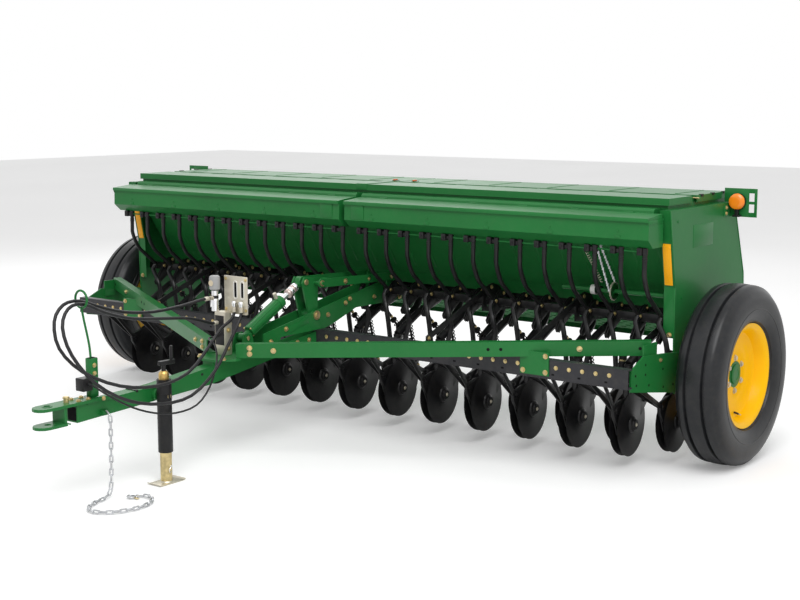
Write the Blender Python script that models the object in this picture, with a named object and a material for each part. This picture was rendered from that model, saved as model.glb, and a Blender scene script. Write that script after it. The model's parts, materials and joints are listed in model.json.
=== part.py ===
"""A towed end-wheel seed drill, parked on its two wheels and its tongue jack.

Units are metres. The drill frame has X across the machine (the machine's own left is +X), Y back from the
wheel axle (the tongue points to -Y) and Z up from the ground. The empty "seed_drill" moves the machine
so that the world origin lies on the ground under the middle of its box.
"""

import math

import bmesh
import bpy
from mathutils import Matrix, Vector

# ---- Driving dimensions --------------------------------------------------------------------------
GAP = 0.0003  # between two pieces that touch
PIN_PLAY = 0.001  # between a pin and the eye that turns on it

ROWS = 26
ROW_PITCH = 0.1524
FIRST_ROW_X = ROWS / 2 * ROW_PITCH  # the leftmost opener row

WHEEL_RADIUS = 0.482
TYRE_WIDTH = 0.25
WHEEL_X = 2.223  # centre plane of a tyre
RIM_RADIUS = 0.2795
RIM_WIDTH = 0.172
HUB_RADIUS = 0.059
HUB_FACE_X = 2.244  # outer face of the hub cap
SPINDLE_RADIUS = 0.035
WHEEL_SIDES = 24

TIP_Y = -2.80  # front of the hitch clevis
REAR_Y = 0.72  # rear of the walkboard

PANEL_X = 2.03  # outer face of an end panel
PANEL_T = 0.006
BOX_WALL = 0.005
BOX_TOP_Z = 1.362  # top of the end panels
LID_Z = (1.381, 1.418)
LID_HALF_X = 1.988
LID_GAP = 0.012  # between the left and right lids
DECK_Y = (-0.323, -0.060)
LID_Y = (-0.004, 0.392)
HINGE_Y, HINGE_Z = -0.028, 1.400
RIM_INSET = 0.013  # from a lid's edge to the hopper rim under it
SHEET = 0.005

HOPPER_BREAK_Z = 1.20  # the walls slope in below this
HOPPER_KNEE_Z = 0.88  # and a little steeper below this
HOPPER_FLOOR_Z = 0.81
HOPPER_FLOOR_HALF_Y = 0.075
FRONT_BOX_HALF_X = 1.994
FRONT_BOX_GAP = 0.04  # between the two halves
FRONT_BOX_Y = (-0.555, -0.395)
FRONT_BOX_Z = (1.178, 1.325)
FRONT_BRIDGE_HALF_X = 1.94
FRONT_LID_HINGE = (-0.402, 1.352)

RAIL_Y = (-0.837, -0.790)
RAIL_Z = (0.515, 0.615)
RAIL_T = 0.007
RAIL_HALF_X = 2.046
DRAWBAR_PIN = (-0.806, 0.565)
PIVOT_ROD_R = 0.012
BEARING_ROWS = (2, 9, 15, 22)
ROCKSHAFT = (-0.205, 0.775)
ROCKSHAFT_SIDE = 0.045
ROCKSHAFT_CLEARANCE = 0.0062  # between its corners and a bore that it turns in
ROCKSHAFT_BORE = ROCKSHAFT_SIDE / math.sqrt(2) + ROCKSHAFT_CLEARANCE
FEED_SHAFT = (0.0, 0.776)
BRACE_ROWS = (4, 8, 18, 22)
MAIN_TUBE_Y = (0.09, 0.17)
MAIN_TUBE_Z = (0.69, 0.77)

DISC_RADIUS = 0.1715
FRONT_HUB = (-0.40, 0.232)
REAR_HUB = (-0.18, 0.232)

TONGUE_HALF_X = 0.038
SADDLE_Z = 0.5637  # top of the plate that the arms and the upper beam bolt to
ARM_FRONT = (0.108, -1.567, 0.602)
ARM_REAR = (2.024, -0.5545, 0.680)
ARM_HEIGHT = 0.076
PARKED_X = (0.055, 0.105)  # the parked hose ends

JACK_X, JACK_Y = 0.100, -2.077
JACK_PIVOT_Z = 0.450
JACK_TUBE_R = 0.038
JACK_LEG_R = 0.030

BARREL_PIN = (-1.400, 0.640)
ROD_PIN = (-0.925, 0.895)
CRANK_PIN = (-0.860, 0.700)
LINK_PIN = (-0.850, 0.885)
LEVER_PIN = (-0.205, 0.858)
BEAM_HALF_X = 0.062
BEAM_T = 0.008

SHIFT_Y = -(TIP_Y + REAR_Y) / 2

COLOURS = {
    "green_paint": ((0.030, 0.190, 0.055), 0.35, 0.0),
    "black_paint": ((0.020, 0.020, 0.022), 0.45, 0.0),
    "rim_yellow": ((0.900, 0.560, 0.010), 0.35, 0.0),
    "tyre_rubber": ((0.025, 0.026, 0.029), 0.70, 0.0),
    "hose_rubber": ((0.030, 0.030, 0.034), 0.55, 0.0),
    "disc_steel": ((0.030, 0.030, 0.032), 0.35, 1.0),
    "zinc_plate": ((0.620, 0.580, 0.430), 0.35, 1.0),
    "chrome": ((0.800, 0.810, 0.820), 0.12, 1.0),
    "chain_steel": ((0.600, 0.620, 0.640), 0.30, 1.0),
    "amber_lens": ((0.900, 0.270, 0.020), 0.20, 0.0),
}


# ---- Scene and shape helpers ---------------------------------------------------------------------
def clear_scene():
    for obj in list(bpy.data.objects):
        bpy.data.objects.remove(obj, do_unlink=True)


def new_collection(name, hidden=False):
    made = bpy.data.collections.new(name)
    made.hide_render = hidden
    bpy.context.scene.collection.children.link(made)
    return made


def make_materials():
    made = {}
    for name, (colour, roughness, metallic) in COLOURS.items():
        material = bpy.data.materials.new(name)
        material.use_nodes = True
        shader = material.node_tree.nodes["Principled BSDF"]
        shader.inputs["Base Color"].default_value = (*colour, 1.0)
        shader.inputs["Roughness"].default_value = roughness
        shader.inputs["Metallic"].default_value = metallic
        material.diffuse_color = (*colour, 1.0)
        made[name] = material
    return made


def shape_from(bm):
    """A construction shape from a bmesh, kept in the hidden collection until it is fused."""
    mesh = bpy.data.meshes.new("shape")
    bm.to_mesh(mesh)
    bm.free()
    shape = bpy.data.objects.new("shape", mesh)
    shape.hide_render = True
    shape.display_type = "WIRE"
    CUTTERS.objects.link(shape)
    return shape


def cuboid(x, y, z):
    """A box between the (low, high) pairs x, y and z."""
    bm = bmesh.new()
    centre = Vector((sum(x), sum(y), sum(z))) / 2
    size = (x[1] - x[0], y[1] - y[0], z[1] - z[0])
    bmesh.ops.create_cube(bm, size=1.0, matrix=Matrix.Translation(centre) @ Matrix.Diagonal((*size, 1.0)))
    return shape_from(bm)


def rod(start, end, radius, sides=12, end_radius=None):
    """A round bar between two points, or a cone if end_radius is given."""
    start, end = Vector(start), Vector(end)
    turn = (end - start).to_track_quat("Z", "Y").to_matrix().to_4x4()
    bm = bmesh.new()
    bmesh.ops.create_cone(
        bm,
        cap_ends=True,
        segments=sides,
        radius1=radius,
        radius2=radius if end_radius is None else end_radius,
        depth=(end - start).length,
        matrix=Matrix.Translation((start + end) / 2) @ turn,
    )
    return shape_from(bm)


def bar(start, end, across, thick, across_axis=(1, 0, 0)):
    """A flat bar between two points: "across" wide along across_axis and "thick" the third way."""
    start, end = Vector(start), Vector(end)
    along = (end - start).normalized()
    third = along.cross(Vector(across_axis)).normalized()
    wide = third.cross(along)
    turn = Matrix((wide, third, along)).transposed().to_4x4()
    size = Matrix.Diagonal((across, thick, (end - start).length, 1.0))
    bm = bmesh.new()
    bmesh.ops.create_cube(bm, size=1.0, matrix=Matrix.Translation((start + end) / 2) @ turn @ size)
    return shape_from(bm)


def mesh_of_curve(curve_object):
    """Turns a curve object into a hidden mesh shape with its caps welded."""
    graph = bpy.context.evaluated_depsgraph_get()
    graph.update()
    mesh = bpy.data.meshes.new_from_object(curve_object.evaluated_get(graph))
    bm = bmesh.new()
    bm.from_mesh(mesh)
    bmesh.ops.remove_doubles(bm, verts=bm.verts, dist=0.00001)
    bm.transform(curve_object.matrix_world)
    if curve_object.matrix_world.determinant() < 0:
        bmesh.ops.reverse_faces(bm, faces=bm.faces)
    bpy.data.objects.remove(curve_object, do_unlink=True)
    bpy.data.meshes.remove(mesh)
    return shape_from(bm)


def outline_solid(points, thickness, matrix):
    """A flat outline, filled and made as thick as said, then placed by matrix from its own XY plane."""
    curve = bpy.data.curves.new("outline", "CURVE")
    curve.dimensions = "2D"
    curve.fill_mode = "BOTH"
    curve.extrude = thickness / 2
    spline = curve.splines.new("POLY")
    spline.points.add(len(points) - 1)
    for point, (u, v) in zip(spline.points, points):
        point.co = (u, v, 0.0, 1.0)
    spline.use_cyclic_u = True
    flat = bpy.data.objects.new("outline", curve)
    CUTTERS.objects.link(flat)
    flat.matrix_world = matrix
    bpy.context.view_layer.update()
    return mesh_of_curve(flat)


def side_plate(points, x):
    """An outline of (Y, Z) points made into a plate between the two X values."""
    to_yz = Matrix(((0, 0, 1, sum(x) / 2), (1, 0, 0, 0), (0, 1, 0, 0), (0, 0, 0, 1)))
    return outline_solid(points, x[1] - x[0], to_yz)


def flat_plate(points, z):
    """An outline of (X, Y) points made into a plate between the two Z values."""
    return outline_solid(points, z[1] - z[0], Matrix.Translation((0, 0, sum(z) / 2)))


def arc(centre, radius, first_deg, last_deg, steps):
    """Points on an arc, both ends included."""
    turns = [math.radians(first_deg + (last_deg - first_deg) * i / steps) for i in range(steps + 1)]
    return [(centre[0] + radius * math.cos(a), centre[1] + radius * math.sin(a)) for a in turns]


def smooth_path(points, steps):
    """Points along a Catmull-Rom curve, "steps" to a span. The first and last spans stay straight."""
    points = [Vector(p) for p in points]
    path = [points[0]]
    for before, start, end, after in zip(points, points[1:], points[2:], points[3:]):
        for i in range(steps):
            t = i / steps
            bend = (2 * before - 5 * start + 4 * end - after) * t**2
            ease = (3 * start - before - 3 * end + after) * t**3
            path.append(0.5 * (2 * start + (end - before) * t + bend + ease))
    return [*path, *points[-2:]]


def tube_curve(name, path, radius, resolution):
    """A round tube along a path, as a curve object with filled caps."""
    curve = bpy.data.curves.new(name, "CURVE")
    curve.dimensions = "3D"
    curve.bevel_depth = radius
    curve.bevel_resolution = resolution
    curve.use_fill_caps = True
    spline = curve.splines.new("POLY")
    spline.points.add(len(path) - 1)
    for point, place in zip(spline.points, path):
        point.co = (*place, 1.0)
    return bpy.data.objects.new(name, curve)


def bent_tube(path, radius, resolution=1):
    tube = tube_curve("tube", path, radius, resolution)
    CUTTERS.objects.link(tube)
    bpy.context.view_layer.update()
    return mesh_of_curve(tube)


def turned(profile, x_outward, centre, steps):
    """A profile of (distance out along X, radius) points, turned about the X axis through centre (Y, Z).

    x_outward is 1 where the profile's outer end faces +X and -1 where it faces -X.
    """
    bm = bmesh.new()
    made = [bm.verts.new((radius, 0.0, out)) for out, radius in profile]
    for a, b in zip(made, made[1:]):
        bm.edges.new((a, b))
    if profile[0][1] > 0 and profile[-1][1] > 0:
        bm.edges.new((made[-1], made[0]))
    bmesh.ops.spin(
        bm,
        geom=bm.verts[:] + bm.edges[:],
        cent=(0, 0, 0),
        axis=(0, 0, 1),
        angle=2 * math.pi,
        steps=steps,
        use_merge=True,
    )
    bmesh.ops.remove_doubles(bm, verts=bm.verts, dist=0.00005)
    bm.transform(Matrix(((0, 0, x_outward, 0), (0, 1, 0, centre[0]), (1, 0, 0, centre[1]), (0, 0, 0, 1))))
    bmesh.ops.recalc_face_normals(bm, faces=bm.faces)
    if bm.calc_volume(signed=True) < 0:
        bmesh.ops.reverse_faces(bm, faces=bm.faces)
    return shape_from(bm)


def mirrored(shape):
    """A copy of a shape on the other side of the machine."""
    bm = bmesh.new()
    bm.from_mesh(shape.data)
    bm.transform(Matrix.Diagonal((-1, 1, 1, 1)))
    bmesh.ops.reverse_faces(bm, faces=bm.faces)
    return shape_from(bm)


def combine(target, others, operation):
    """Joins or cuts the target shape by the others, with one exact Boolean."""
    if not others:
        return
    group = bpy.data.collections.new("operands")
    for other in others:
        group.objects.link(other)
    modifier = target.modifiers.new(operation.lower(), "BOOLEAN")
    modifier.operation = operation
    modifier.solver = "EXACT"
    modifier.operand_type = "COLLECTION"
    modifier.collection = group
    graph = bpy.context.evaluated_depsgraph_get()
    graph.update()
    result = bpy.data.meshes.new_from_object(target.evaluated_get(graph))
    target.modifiers.clear()
    target.data = result
    bpy.data.collections.remove(group)
    for other in others:
        bpy.data.objects.remove(other, do_unlink=True)


def sub_part(name, shapes, material, cuts=(), pivot=(0, 0, 0), axis=None):
    """One closed body with its own name: the shapes joined, the cuts taken out, its origin at pivot."""
    body, *others = shapes
    combine(body, others, "UNION")
    combine(body, list(cuts), "DIFFERENCE")
    mesh = body.data
    bpy.data.objects.remove(body, do_unlink=True)
    mesh.name = name
    mesh.transform(Matrix.Translation(-Vector(pivot)))
    mesh.materials.clear()
    mesh.materials.append(MATERIALS[material])
    mesh.shade_smooth()
    mesh.set_sharp_from_angle(angle=math.radians(32))
    obj = bpy.data.objects.new(name, mesh)
    PARTS.objects.link(obj)
    obj.parent = axis or DRILL
    obj.location = (0, 0, 0) if axis else pivot
    return obj


def axis_empty(name, place, parent=None):
    """An empty on a joint's axis, for the pieces that turn or slide there."""
    empty = bpy.data.objects.new(name, None)
    empty.empty_display_size = 0.1
    PARTS.objects.link(empty)
    empty.parent = parent or DRILL
    empty.location = Vector(place) - (Vector(parent["place"]) if parent else Vector())
    empty["place"] = tuple(place)
    return empty


def both_sides(name, build, material, **keywords):
    """The same sub-part on the left (+X) and, mirrored, on the right. build returns (shapes, cuts)."""
    for side, sign in (("left", 1), ("right", -1)):
        shapes, cuts = build()
        if sign < 0:
            flipped = [[mirrored(s) for s in group] for group in (shapes, cuts)]
            for shape in (*shapes, *cuts):
                bpy.data.objects.remove(shape, do_unlink=True)
            shapes, cuts = flipped
        sub_part(f"{name}_{side}", shapes, material, cuts=cuts, **keywords)


def row_x(row):
    return FIRST_ROW_X - row * ROW_PITCH


# ---- Wheels --------------------------------------------------------------------------------------
def tyre_profile():
    """(X from the tyre's centre plane, radius) round a ribbed implement tyre's section."""
    half, tread, bead = TYRE_WIDTH / 2, WHEEL_RADIUS, RIM_RADIUS - 0.012
    seat = RIM_WIDTH / 2
    one_side = [
        (seat - 0.0127, bead),
        (seat - 0.0070, RIM_RADIUS + 0.0004),
        (seat + 0.0045, RIM_RADIUS + 0.004),
        (half, RIM_RADIUS + 0.100),
        (half * 0.88, tread - 0.035),
        (half * 0.60, tread - 0.006),
        (half * 0.30, tread),
    ]
    return one_side + [(-x, radius) for x, radius in reversed(one_side)]


def rim_profile():
    """(X, radius) of the barrel, the dished disc and the hub with its bore, from the cap inwards."""
    outer, inner = WHEEL_X + RIM_WIDTH / 2, WHEEL_X - RIM_WIDTH / 2
    bead = RIM_RADIUS - 0.012 - GAP
    bore = SPINDLE_RADIUS + PIN_PLAY
    return [
        (HUB_FACE_X, 0.0),
        (HUB_FACE_X, HUB_RADIUS),
        (HUB_FACE_X - 0.022, HUB_RADIUS + 0.004),
        (HUB_FACE_X - 0.012, 0.165),
        (HUB_FACE_X - 0.012, 0.215),
        (outer - 0.008, 0.255),
        (outer, RIM_RADIUS),
        (outer - 0.006, RIM_RADIUS),
        (outer - 0.012, bead),
        (inner + 0.012, bead),
        (inner + 0.006, RIM_RADIUS),
        (inner, RIM_RADIUS),
        (inner + 0.008, 0.252),
        (HUB_FACE_X - 0.030, 0.222),
        (HUB_FACE_X - 0.022, 0.165),
        (HUB_FACE_X - 0.034, HUB_RADIUS),
        (inner - 0.006, HUB_RADIUS),
        (inner - 0.006, bore),
        (HUB_FACE_X - 0.012, bore),
        (HUB_FACE_X - 0.012, 0.0),
    ]


def build_wheels():
    centre = (0.0, WHEEL_RADIUS)
    for side, sign in (("left", 1), ("right", -1)):
        pivot = (sign * WHEEL_X, *centre)
        axis = axis_empty(f"wheel_axis_{side}", pivot)
        section = [(WHEEL_X + x, r) for x, r in tyre_profile()]
        tyre = turned(section, sign, centre, WHEEL_SIDES)
        sub_part(f"tyre_{side}", [tyre], "tyre_rubber", pivot=pivot, axis=axis)
        rim = turned(rim_profile(), sign, centre, WHEEL_SIDES)
        sub_part(f"rim_{side}", [rim], "rim_yellow", pivot=pivot, axis=axis)


def build_spindles():
    def shapes():
        plate_x = (PANEL_X + GAP, PANEL_X + 0.014)
        plate = cuboid(plate_x, (-0.07, 0.07), (WHEEL_RADIUS - 0.07, WHEEL_RADIUS + 0.07))
        ends = ((plate_x[0] + 0.004, 0, WHEEL_RADIUS), (HUB_FACE_X - 0.013, 0, WHEEL_RADIUS))
        return [plate, rod(*ends, SPINDLE_RADIUS, 24)], []

    both_sides("axle_spindle", shapes, "black_paint")


# ---- Grain box -----------------------------------------------------------------------------------
def build_end_panels():
    def shapes():
        side = [
            (-0.388, BOX_TOP_Z),
            (-0.316, 0.960),
            (-0.310, 0.645),
            (-0.290, 0.400),
            (0.200, 0.400),
            (0.500, 0.520),
            (0.544, 0.883),
            (0.538, 0.954),
            (0.390, BOX_TOP_Z),
        ]
        sheet = side_plate(side, (PANEL_X - PANEL_T, PANEL_X))
        post = [side[0], side[1], (-0.312, 0.700), (-0.306, 0.700), (-0.310, 0.960), (-0.382, BOX_TOP_Z)]
        flange = side_plate(post, (PANEL_X - 0.062, PANEL_X - 0.001))
        inner = LID_HALF_X - RIM_INSET + GAP
        top = cuboid((inner, PANEL_X - 0.001), (-0.379, 0.386), (BOX_TOP_Z - 0.006, BOX_TOP_Z - 0.0005))
        return [sheet, flange, top], []

    both_sides("end_panel", shapes, "green_paint")


def hopper_wall(edge, side):
    """(Y, Z) round one long wall of the trough: upright at the rim, then sloping in to the floor.

    edge is the rim's outer face and side the wall's side of the middle, as the sign of Y.
    """
    wall_top = LID_Z[1] - SHEET - GAP
    foot = side * HOPPER_FLOOR_HALF_Y
    knee = foot + side * 0.020
    inward = -side * BOX_WALL
    return [
        (edge, wall_top),
        (edge, HOPPER_BREAK_Z),
        (knee, HOPPER_KNEE_Z),
        (foot, HOPPER_FLOOR_Z),
        (foot + inward, HOPPER_FLOOR_Z),
        (knee + inward, HOPPER_KNEE_Z + BOX_WALL * 0.4),
        (edge + inward, HOPPER_BREAK_Z + BOX_WALL * 0.4),
        (edge + inward, wall_top),
    ]


def build_hopper():
    """The grain trough in sheets. The lids lie on its top edge, inside their turned-down rims."""
    end = LID_HALF_X - RIM_INSET
    inside = end - BOX_WALL - GAP
    front = hopper_wall(DECK_Y[0] + RIM_INSET, -1)
    rear = hopper_wall(LID_Y[1] - RIM_INSET, 1)
    sub_part("hopper_front", [side_plate(front, (-inside, inside))], "green_paint")
    sub_part("hopper_rear", [side_plate(rear, (-inside, inside))], "green_paint")
    floor_y = HOPPER_FLOOR_HALF_Y - BOX_WALL - GAP
    floor_z = (HOPPER_FLOOR_Z, HOPPER_FLOOR_Z + BOX_WALL)
    sub_part("hopper_floor", [cuboid((-inside, inside), (-floor_y, floor_y), floor_z)], "green_paint")

    def shapes():
        return [side_plate([*front[:4], *reversed(rear[:4])], (end - BOX_WALL, end))], []

    both_sides("hopper_end", shapes, "green_paint")


def pan(x, y, z, open_sides=()):
    """A pressed lid: a sheet with turned-down edges. Each of open_sides has no edge there."""
    lows = {side: 0.05 if side in open_sides else -SHEET for side in ("left", "right", "front", "rear")}
    outer = cuboid(x, y, z)
    inner = cuboid(
        (x[0] - lows["right"], x[1] + lows["left"]),
        (y[0] - lows["front"], y[1] + lows["rear"]),
        (z[0] - 0.05, z[1] - SHEET),
    )
    return outer, inner


def build_grain_lids():
    outer, inner = pan((-LID_HALF_X, LID_HALF_X), DECK_Y, LID_Z, open_sides=("rear",))
    gutter_half = LID_HALF_X - RIM_INSET - BOX_WALL - 0.006
    gutter_x = (-gutter_half, gutter_half)
    gutter_low = LID_Z[0] - 0.013
    web = cuboid(gutter_x, (DECK_Y[1] - 0.004, DECK_Y[1] - 0.001), (gutter_low, LID_Z[1] - 0.002))
    gutter = cuboid(gutter_x, (DECK_Y[1] - 0.004, 0.012), (gutter_low, gutter_low + 0.005))
    combine(outer, [inner], "DIFFERENCE")
    sub_part("grain_deck", [outer, web, gutter], "green_paint")
    for side, x, seam in (
        ("left", (LID_GAP / 2, LID_HALF_X), "right"),
        ("right", (-LID_HALF_X, -LID_GAP / 2), "left"),
    ):
        outer, inner = pan(x, LID_Y, LID_Z, open_sides=("front", seam))
        pivot = (0, HINGE_Y, HINGE_Z)
        axis = axis_empty(f"grain_lid_axis_{side}", pivot)
        sub_part(f"grain_lid_{side}", [outer], "green_paint", cuts=[inner], pivot=pivot, axis=axis)


def build_front_boxes():
    front, back = FRONT_BOX_Y
    low, high = FRONT_BOX_Z
    bridge_y = DECK_Y[0] + RIM_INSET - GAP
    lid_back = FRONT_LID_HINGE[0] - 0.007
    for side, sign in (("left", 1), ("right", -1)):
        ends = (FRONT_BOX_GAP / 2, FRONT_BOX_HALF_X)
        span = ends if sign > 0 else (-ends[1], -ends[0])
        bridge_ends = (ends[0], FRONT_BRIDGE_HALF_X)
        bridge_span = bridge_ends if sign > 0 else (-bridge_ends[1], -bridge_ends[0])
        outer = [(front + 0.003, high), (front, 1.222), (-0.504, low), (back, low), (back, high)]
        body = side_plate(outer, span)
        ridge = [
            (back - 0.010, low + 0.010),
            (bridge_y, low + 0.010),
            (bridge_y, 1.352),
            (bridge_y - 0.012, 1.368),
            (back + 0.012, 1.368),
            (back, 1.356),
            (back - 0.010, high - 0.010),
        ]
        bridge = side_plate(ridge, bridge_span)
        inside = [
            (front + 0.003 + BOX_WALL, high + 0.05),
            (front + BOX_WALL, 1.224),
            (-0.502, low + BOX_WALL),
            (back - 0.019, low + BOX_WALL),
            (back - 0.019, high + 0.05),
        ]
        hollow = side_plate(inside, (span[0] + BOX_WALL, span[1] - BOX_WALL))
        sub_part(f"front_box_{side}", [body, bridge], "green_paint", cuts=[hollow])
        axis = axis_empty(f"front_lid_axis_{side}", (0, *FRONT_LID_HINGE))
        cover = [
            (front - 0.010, high - 0.012),
            (lid_back, high + GAP),
            (lid_back, high + 0.022),
            (front - 0.007, high + 0.008),
            (front - 0.010, high + 0.004),
        ]
        cover[1:1] = [(front - GAP * 2, high - 0.012), (front - GAP * 2, high + GAP)]
        lid = side_plate(cover, span)
        sub_part(f"front_lid_{side}", [lid], "green_paint", pivot=(0, *FRONT_LID_HINGE), axis=axis)


def build_seed_tubes():
    """The small-seed drop tubes under the front box, hung on their clamps along one tie rod each side."""
    clamp_y, clamp_top = -0.498, FRONT_BOX_Z[0] - GAP
    tie = (clamp_y, clamp_top - 0.020)
    for side, sign in (("left", 1), ("right", -1)):
        clamps = [sign * (0.096 + ROW_PITCH * k) for k in range(ROWS // 2)]
        shapes = [rod((clamps[0] - sign * 0.03, *tie), (clamps[-1] + sign * 0.01, *tie), 0.005, 4)]
        for x in clamps:
            tube_x = min(x + 0.042, 1.949)
            if abs(tube_x) < BEAM_HALF_X:
                tube_x = -0.036
            block_x = (min(x - 0.018, tube_x - 0.015), max(x + 0.018, tube_x + 0.015))
            block_y = (clamp_y - 0.020, clamp_y + 0.016)
            shapes.append(cuboid(block_x, block_y, (clamp_top - 0.040, clamp_top)))
            bends = ((-0.500, 1.150), (-0.500, 1.040), (-0.440, 0.915), (-0.300, 0.800))
            route = [(tube_x, y, z) for y, z in bends]
            shapes.append(bent_tube(route, 0.013))
        sub_part(f"seed_tubes_{side}", shapes, "hose_rubber")


def build_feed_shaft():
    """Feed cups under the hopper floor, one a row, on their square drive shaft."""
    cup_z = (HOPPER_FLOOR_Z - 0.062, HOPPER_FLOOR_Z - GAP)
    y, z = FEED_SHAFT
    shaft = cuboid((-1.965, FIRST_ROW_X + 0.025), (y - 0.008, y + 0.008), (z - 0.008, z + 0.008))
    cups = [cuboid((row_x(r) - 0.026, row_x(r) + 0.026), (-0.042, 0.040), cup_z) for r in range(ROWS)]
    sub_part("feed_cups", [shaft, *cups], "black_paint")


# ---- Frame ---------------------------------------------------------------------------------------
def build_rail():
    """The front rail: a channel open to the rear, with plates that hold the drawbars' pivot rod."""
    outer = cuboid((-RAIL_HALF_X, RAIL_HALF_X), RAIL_Y, RAIL_Z)
    inner = cuboid(
        (-RAIL_HALF_X - 0.1, RAIL_HALF_X + 0.1),
        (RAIL_Y[0] + RAIL_T, RAIL_Y[1] + 0.1),
        (RAIL_Z[0] + RAIL_T, RAIL_Z[1] - RAIL_T),
    )
    combine(outer, [inner], "DIFFERENCE")
    bearings = []
    for row in BEARING_ROWS:
        x = row_x(row) - ROW_PITCH / 2
        y = (RAIL_Y[0] + RAIL_T - 0.002, RAIL_Y[1] - 0.001)
        z = (RAIL_Z[0] + RAIL_T - 0.002, RAIL_Z[1] - RAIL_T + 0.002)
        bearings.append(cuboid((x - 0.005, x + 0.005), y, z))
    bore = rod((-1.99, *DRAWBAR_PIN), (1.99, *DRAWBAR_PIN), PIVOT_ROD_R + PIN_PLAY * 0.9, 12)
    sub_part("front_rail", [outer, *bearings], "black_paint", cuts=[bore])


def build_end_plates():
    """Green plates that carry the rail's ends and reach back to the end panels."""

    def shapes():
        front = RAIL_Y[1] + GAP
        side = [
            (front, 0.495),
            (-0.300, 0.410),
            (-0.085, 0.410),
            (-0.085, 0.600),
            (-0.300, 0.622),
            (-0.455, 0.640),
            (-0.660, 0.655),
            (front, 0.600),
        ]
        return [side_plate(side, (PANEL_X + GAP, PANEL_X + 0.010))], []

    both_sides("end_plate", shapes, "green_paint")


def build_main_tube():
    half = PANEL_X - PANEL_T - GAP
    outer = cuboid((-half, half), MAIN_TUBE_Y, MAIN_TUBE_Z)
    sub_part("main_tube", [outer], "black_paint")


def build_braces():
    """Flat black braces from the rail up to the hopper's underside. Each hanger carries the rockshaft."""
    floor = HOPPER_FLOOR_Z - GAP
    back = MAIN_TUBE_Y[0] - GAP
    foot_z = RAIL_Z[1] + GAP
    side = [
        (back, MAIN_TUBE_Z[0] + 0.006),
        (back, MAIN_TUBE_Z[1] - 0.006),
        (0.030, floor),
        (-HOPPER_FLOOR_HALF_Y, floor),
        (-0.100, 0.850),
        (-0.170, 0.872),
        (-0.270, 0.850),
        (-0.270, 0.720),
        (-0.150, 0.705),
    ]
    for number, row in enumerate(BRACE_ROWS, 1):
        x = row_x(row) + 0.3 * ROW_PITCH
        hanger = side_plate(side, (x - 0.005, x + 0.005))
        strut = bar((x, RAIL_Y[1] - 0.010, foot_z + 0.022), (x, -0.235, 0.838), 0.0096, 0.030)
        foot = cuboid((x - 0.010, x + 0.010), (-0.815, RAIL_Y[1]), (foot_z, foot_z + 0.008))
        web_y = (-0.813, RAIL_Y[1] + 0.015)
        foot_web = cuboid((x - 0.0045, x + 0.0045), web_y, (foot_z + 0.002, foot_z + 0.034))
        bores = [
            rod((x - 0.02, *ROCKSHAFT), (x + 0.02, *ROCKSHAFT), ROCKSHAFT_BORE, 12),
            rod((x - 0.02, *FEED_SHAFT), (x + 0.02, *FEED_SHAFT), 0.017, 8),
        ]
        sub_part(f"brace_{number}", [hanger, strut, foot, foot_web], "black_paint", cuts=bores)


def build_arms():
    """The two diagonal arms of the tongue's A-frame: channels open to the rear, bolted at both ends."""

    def shapes():
        start, end, up = Vector(ARM_FRONT), Vector(ARM_REAR), Vector((0, 0, 1))
        along = (end - start).normalized()
        inward = Vector((-along.y, along.x, 0)).normalized()
        parts = [bar(start, end, ARM_HEIGHT, 0.006, across_axis=up)]
        for sign in (1, -1):
            shift = inward * 0.022 + up * sign * (ARM_HEIGHT / 2 - 0.003)
            parts.append(bar(start + shift, end + shift, 0.006, 0.050, across_axis=up))
        rail_face = RAIL_Y[0] - GAP
        parts.append(cuboid((1.430, 1.600), (rail_face - 0.008, rail_face), (0.530, 0.650)))
        parts.append(cuboid((PANEL_X - 0.010, PANEL_X), (-0.640, -0.500), (0.600, 0.705)))
        return parts, []

    both_sides("arm", shapes, "green_paint")


def build_walkboard():
    """The rear walkboard on its two end brackets, which bolt to the end panels' lower rear corners."""
    board = cuboid((-1.90, 1.90), (0.460, REAR_Y), (0.545, 0.575))
    shapes = [board]
    half = PANEL_X - PANEL_T - GAP
    for sign in (1, -1):
        ends = sorted((sign * (half - 0.008), sign * half))
        bracket = [(0.30, 0.47), (0.70, 0.53), (0.70, 0.572), (0.49, 0.64), (0.30, 0.64)]
        shapes.append(side_plate(bracket, ends))
        cross = sorted((sign * 1.88, sign * (half - 0.002)))
        shapes.append(cuboid(cross, (0.480, 0.660), (0.550, 0.566)))
    sub_part("walkboard", shapes, "green_paint")


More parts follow.
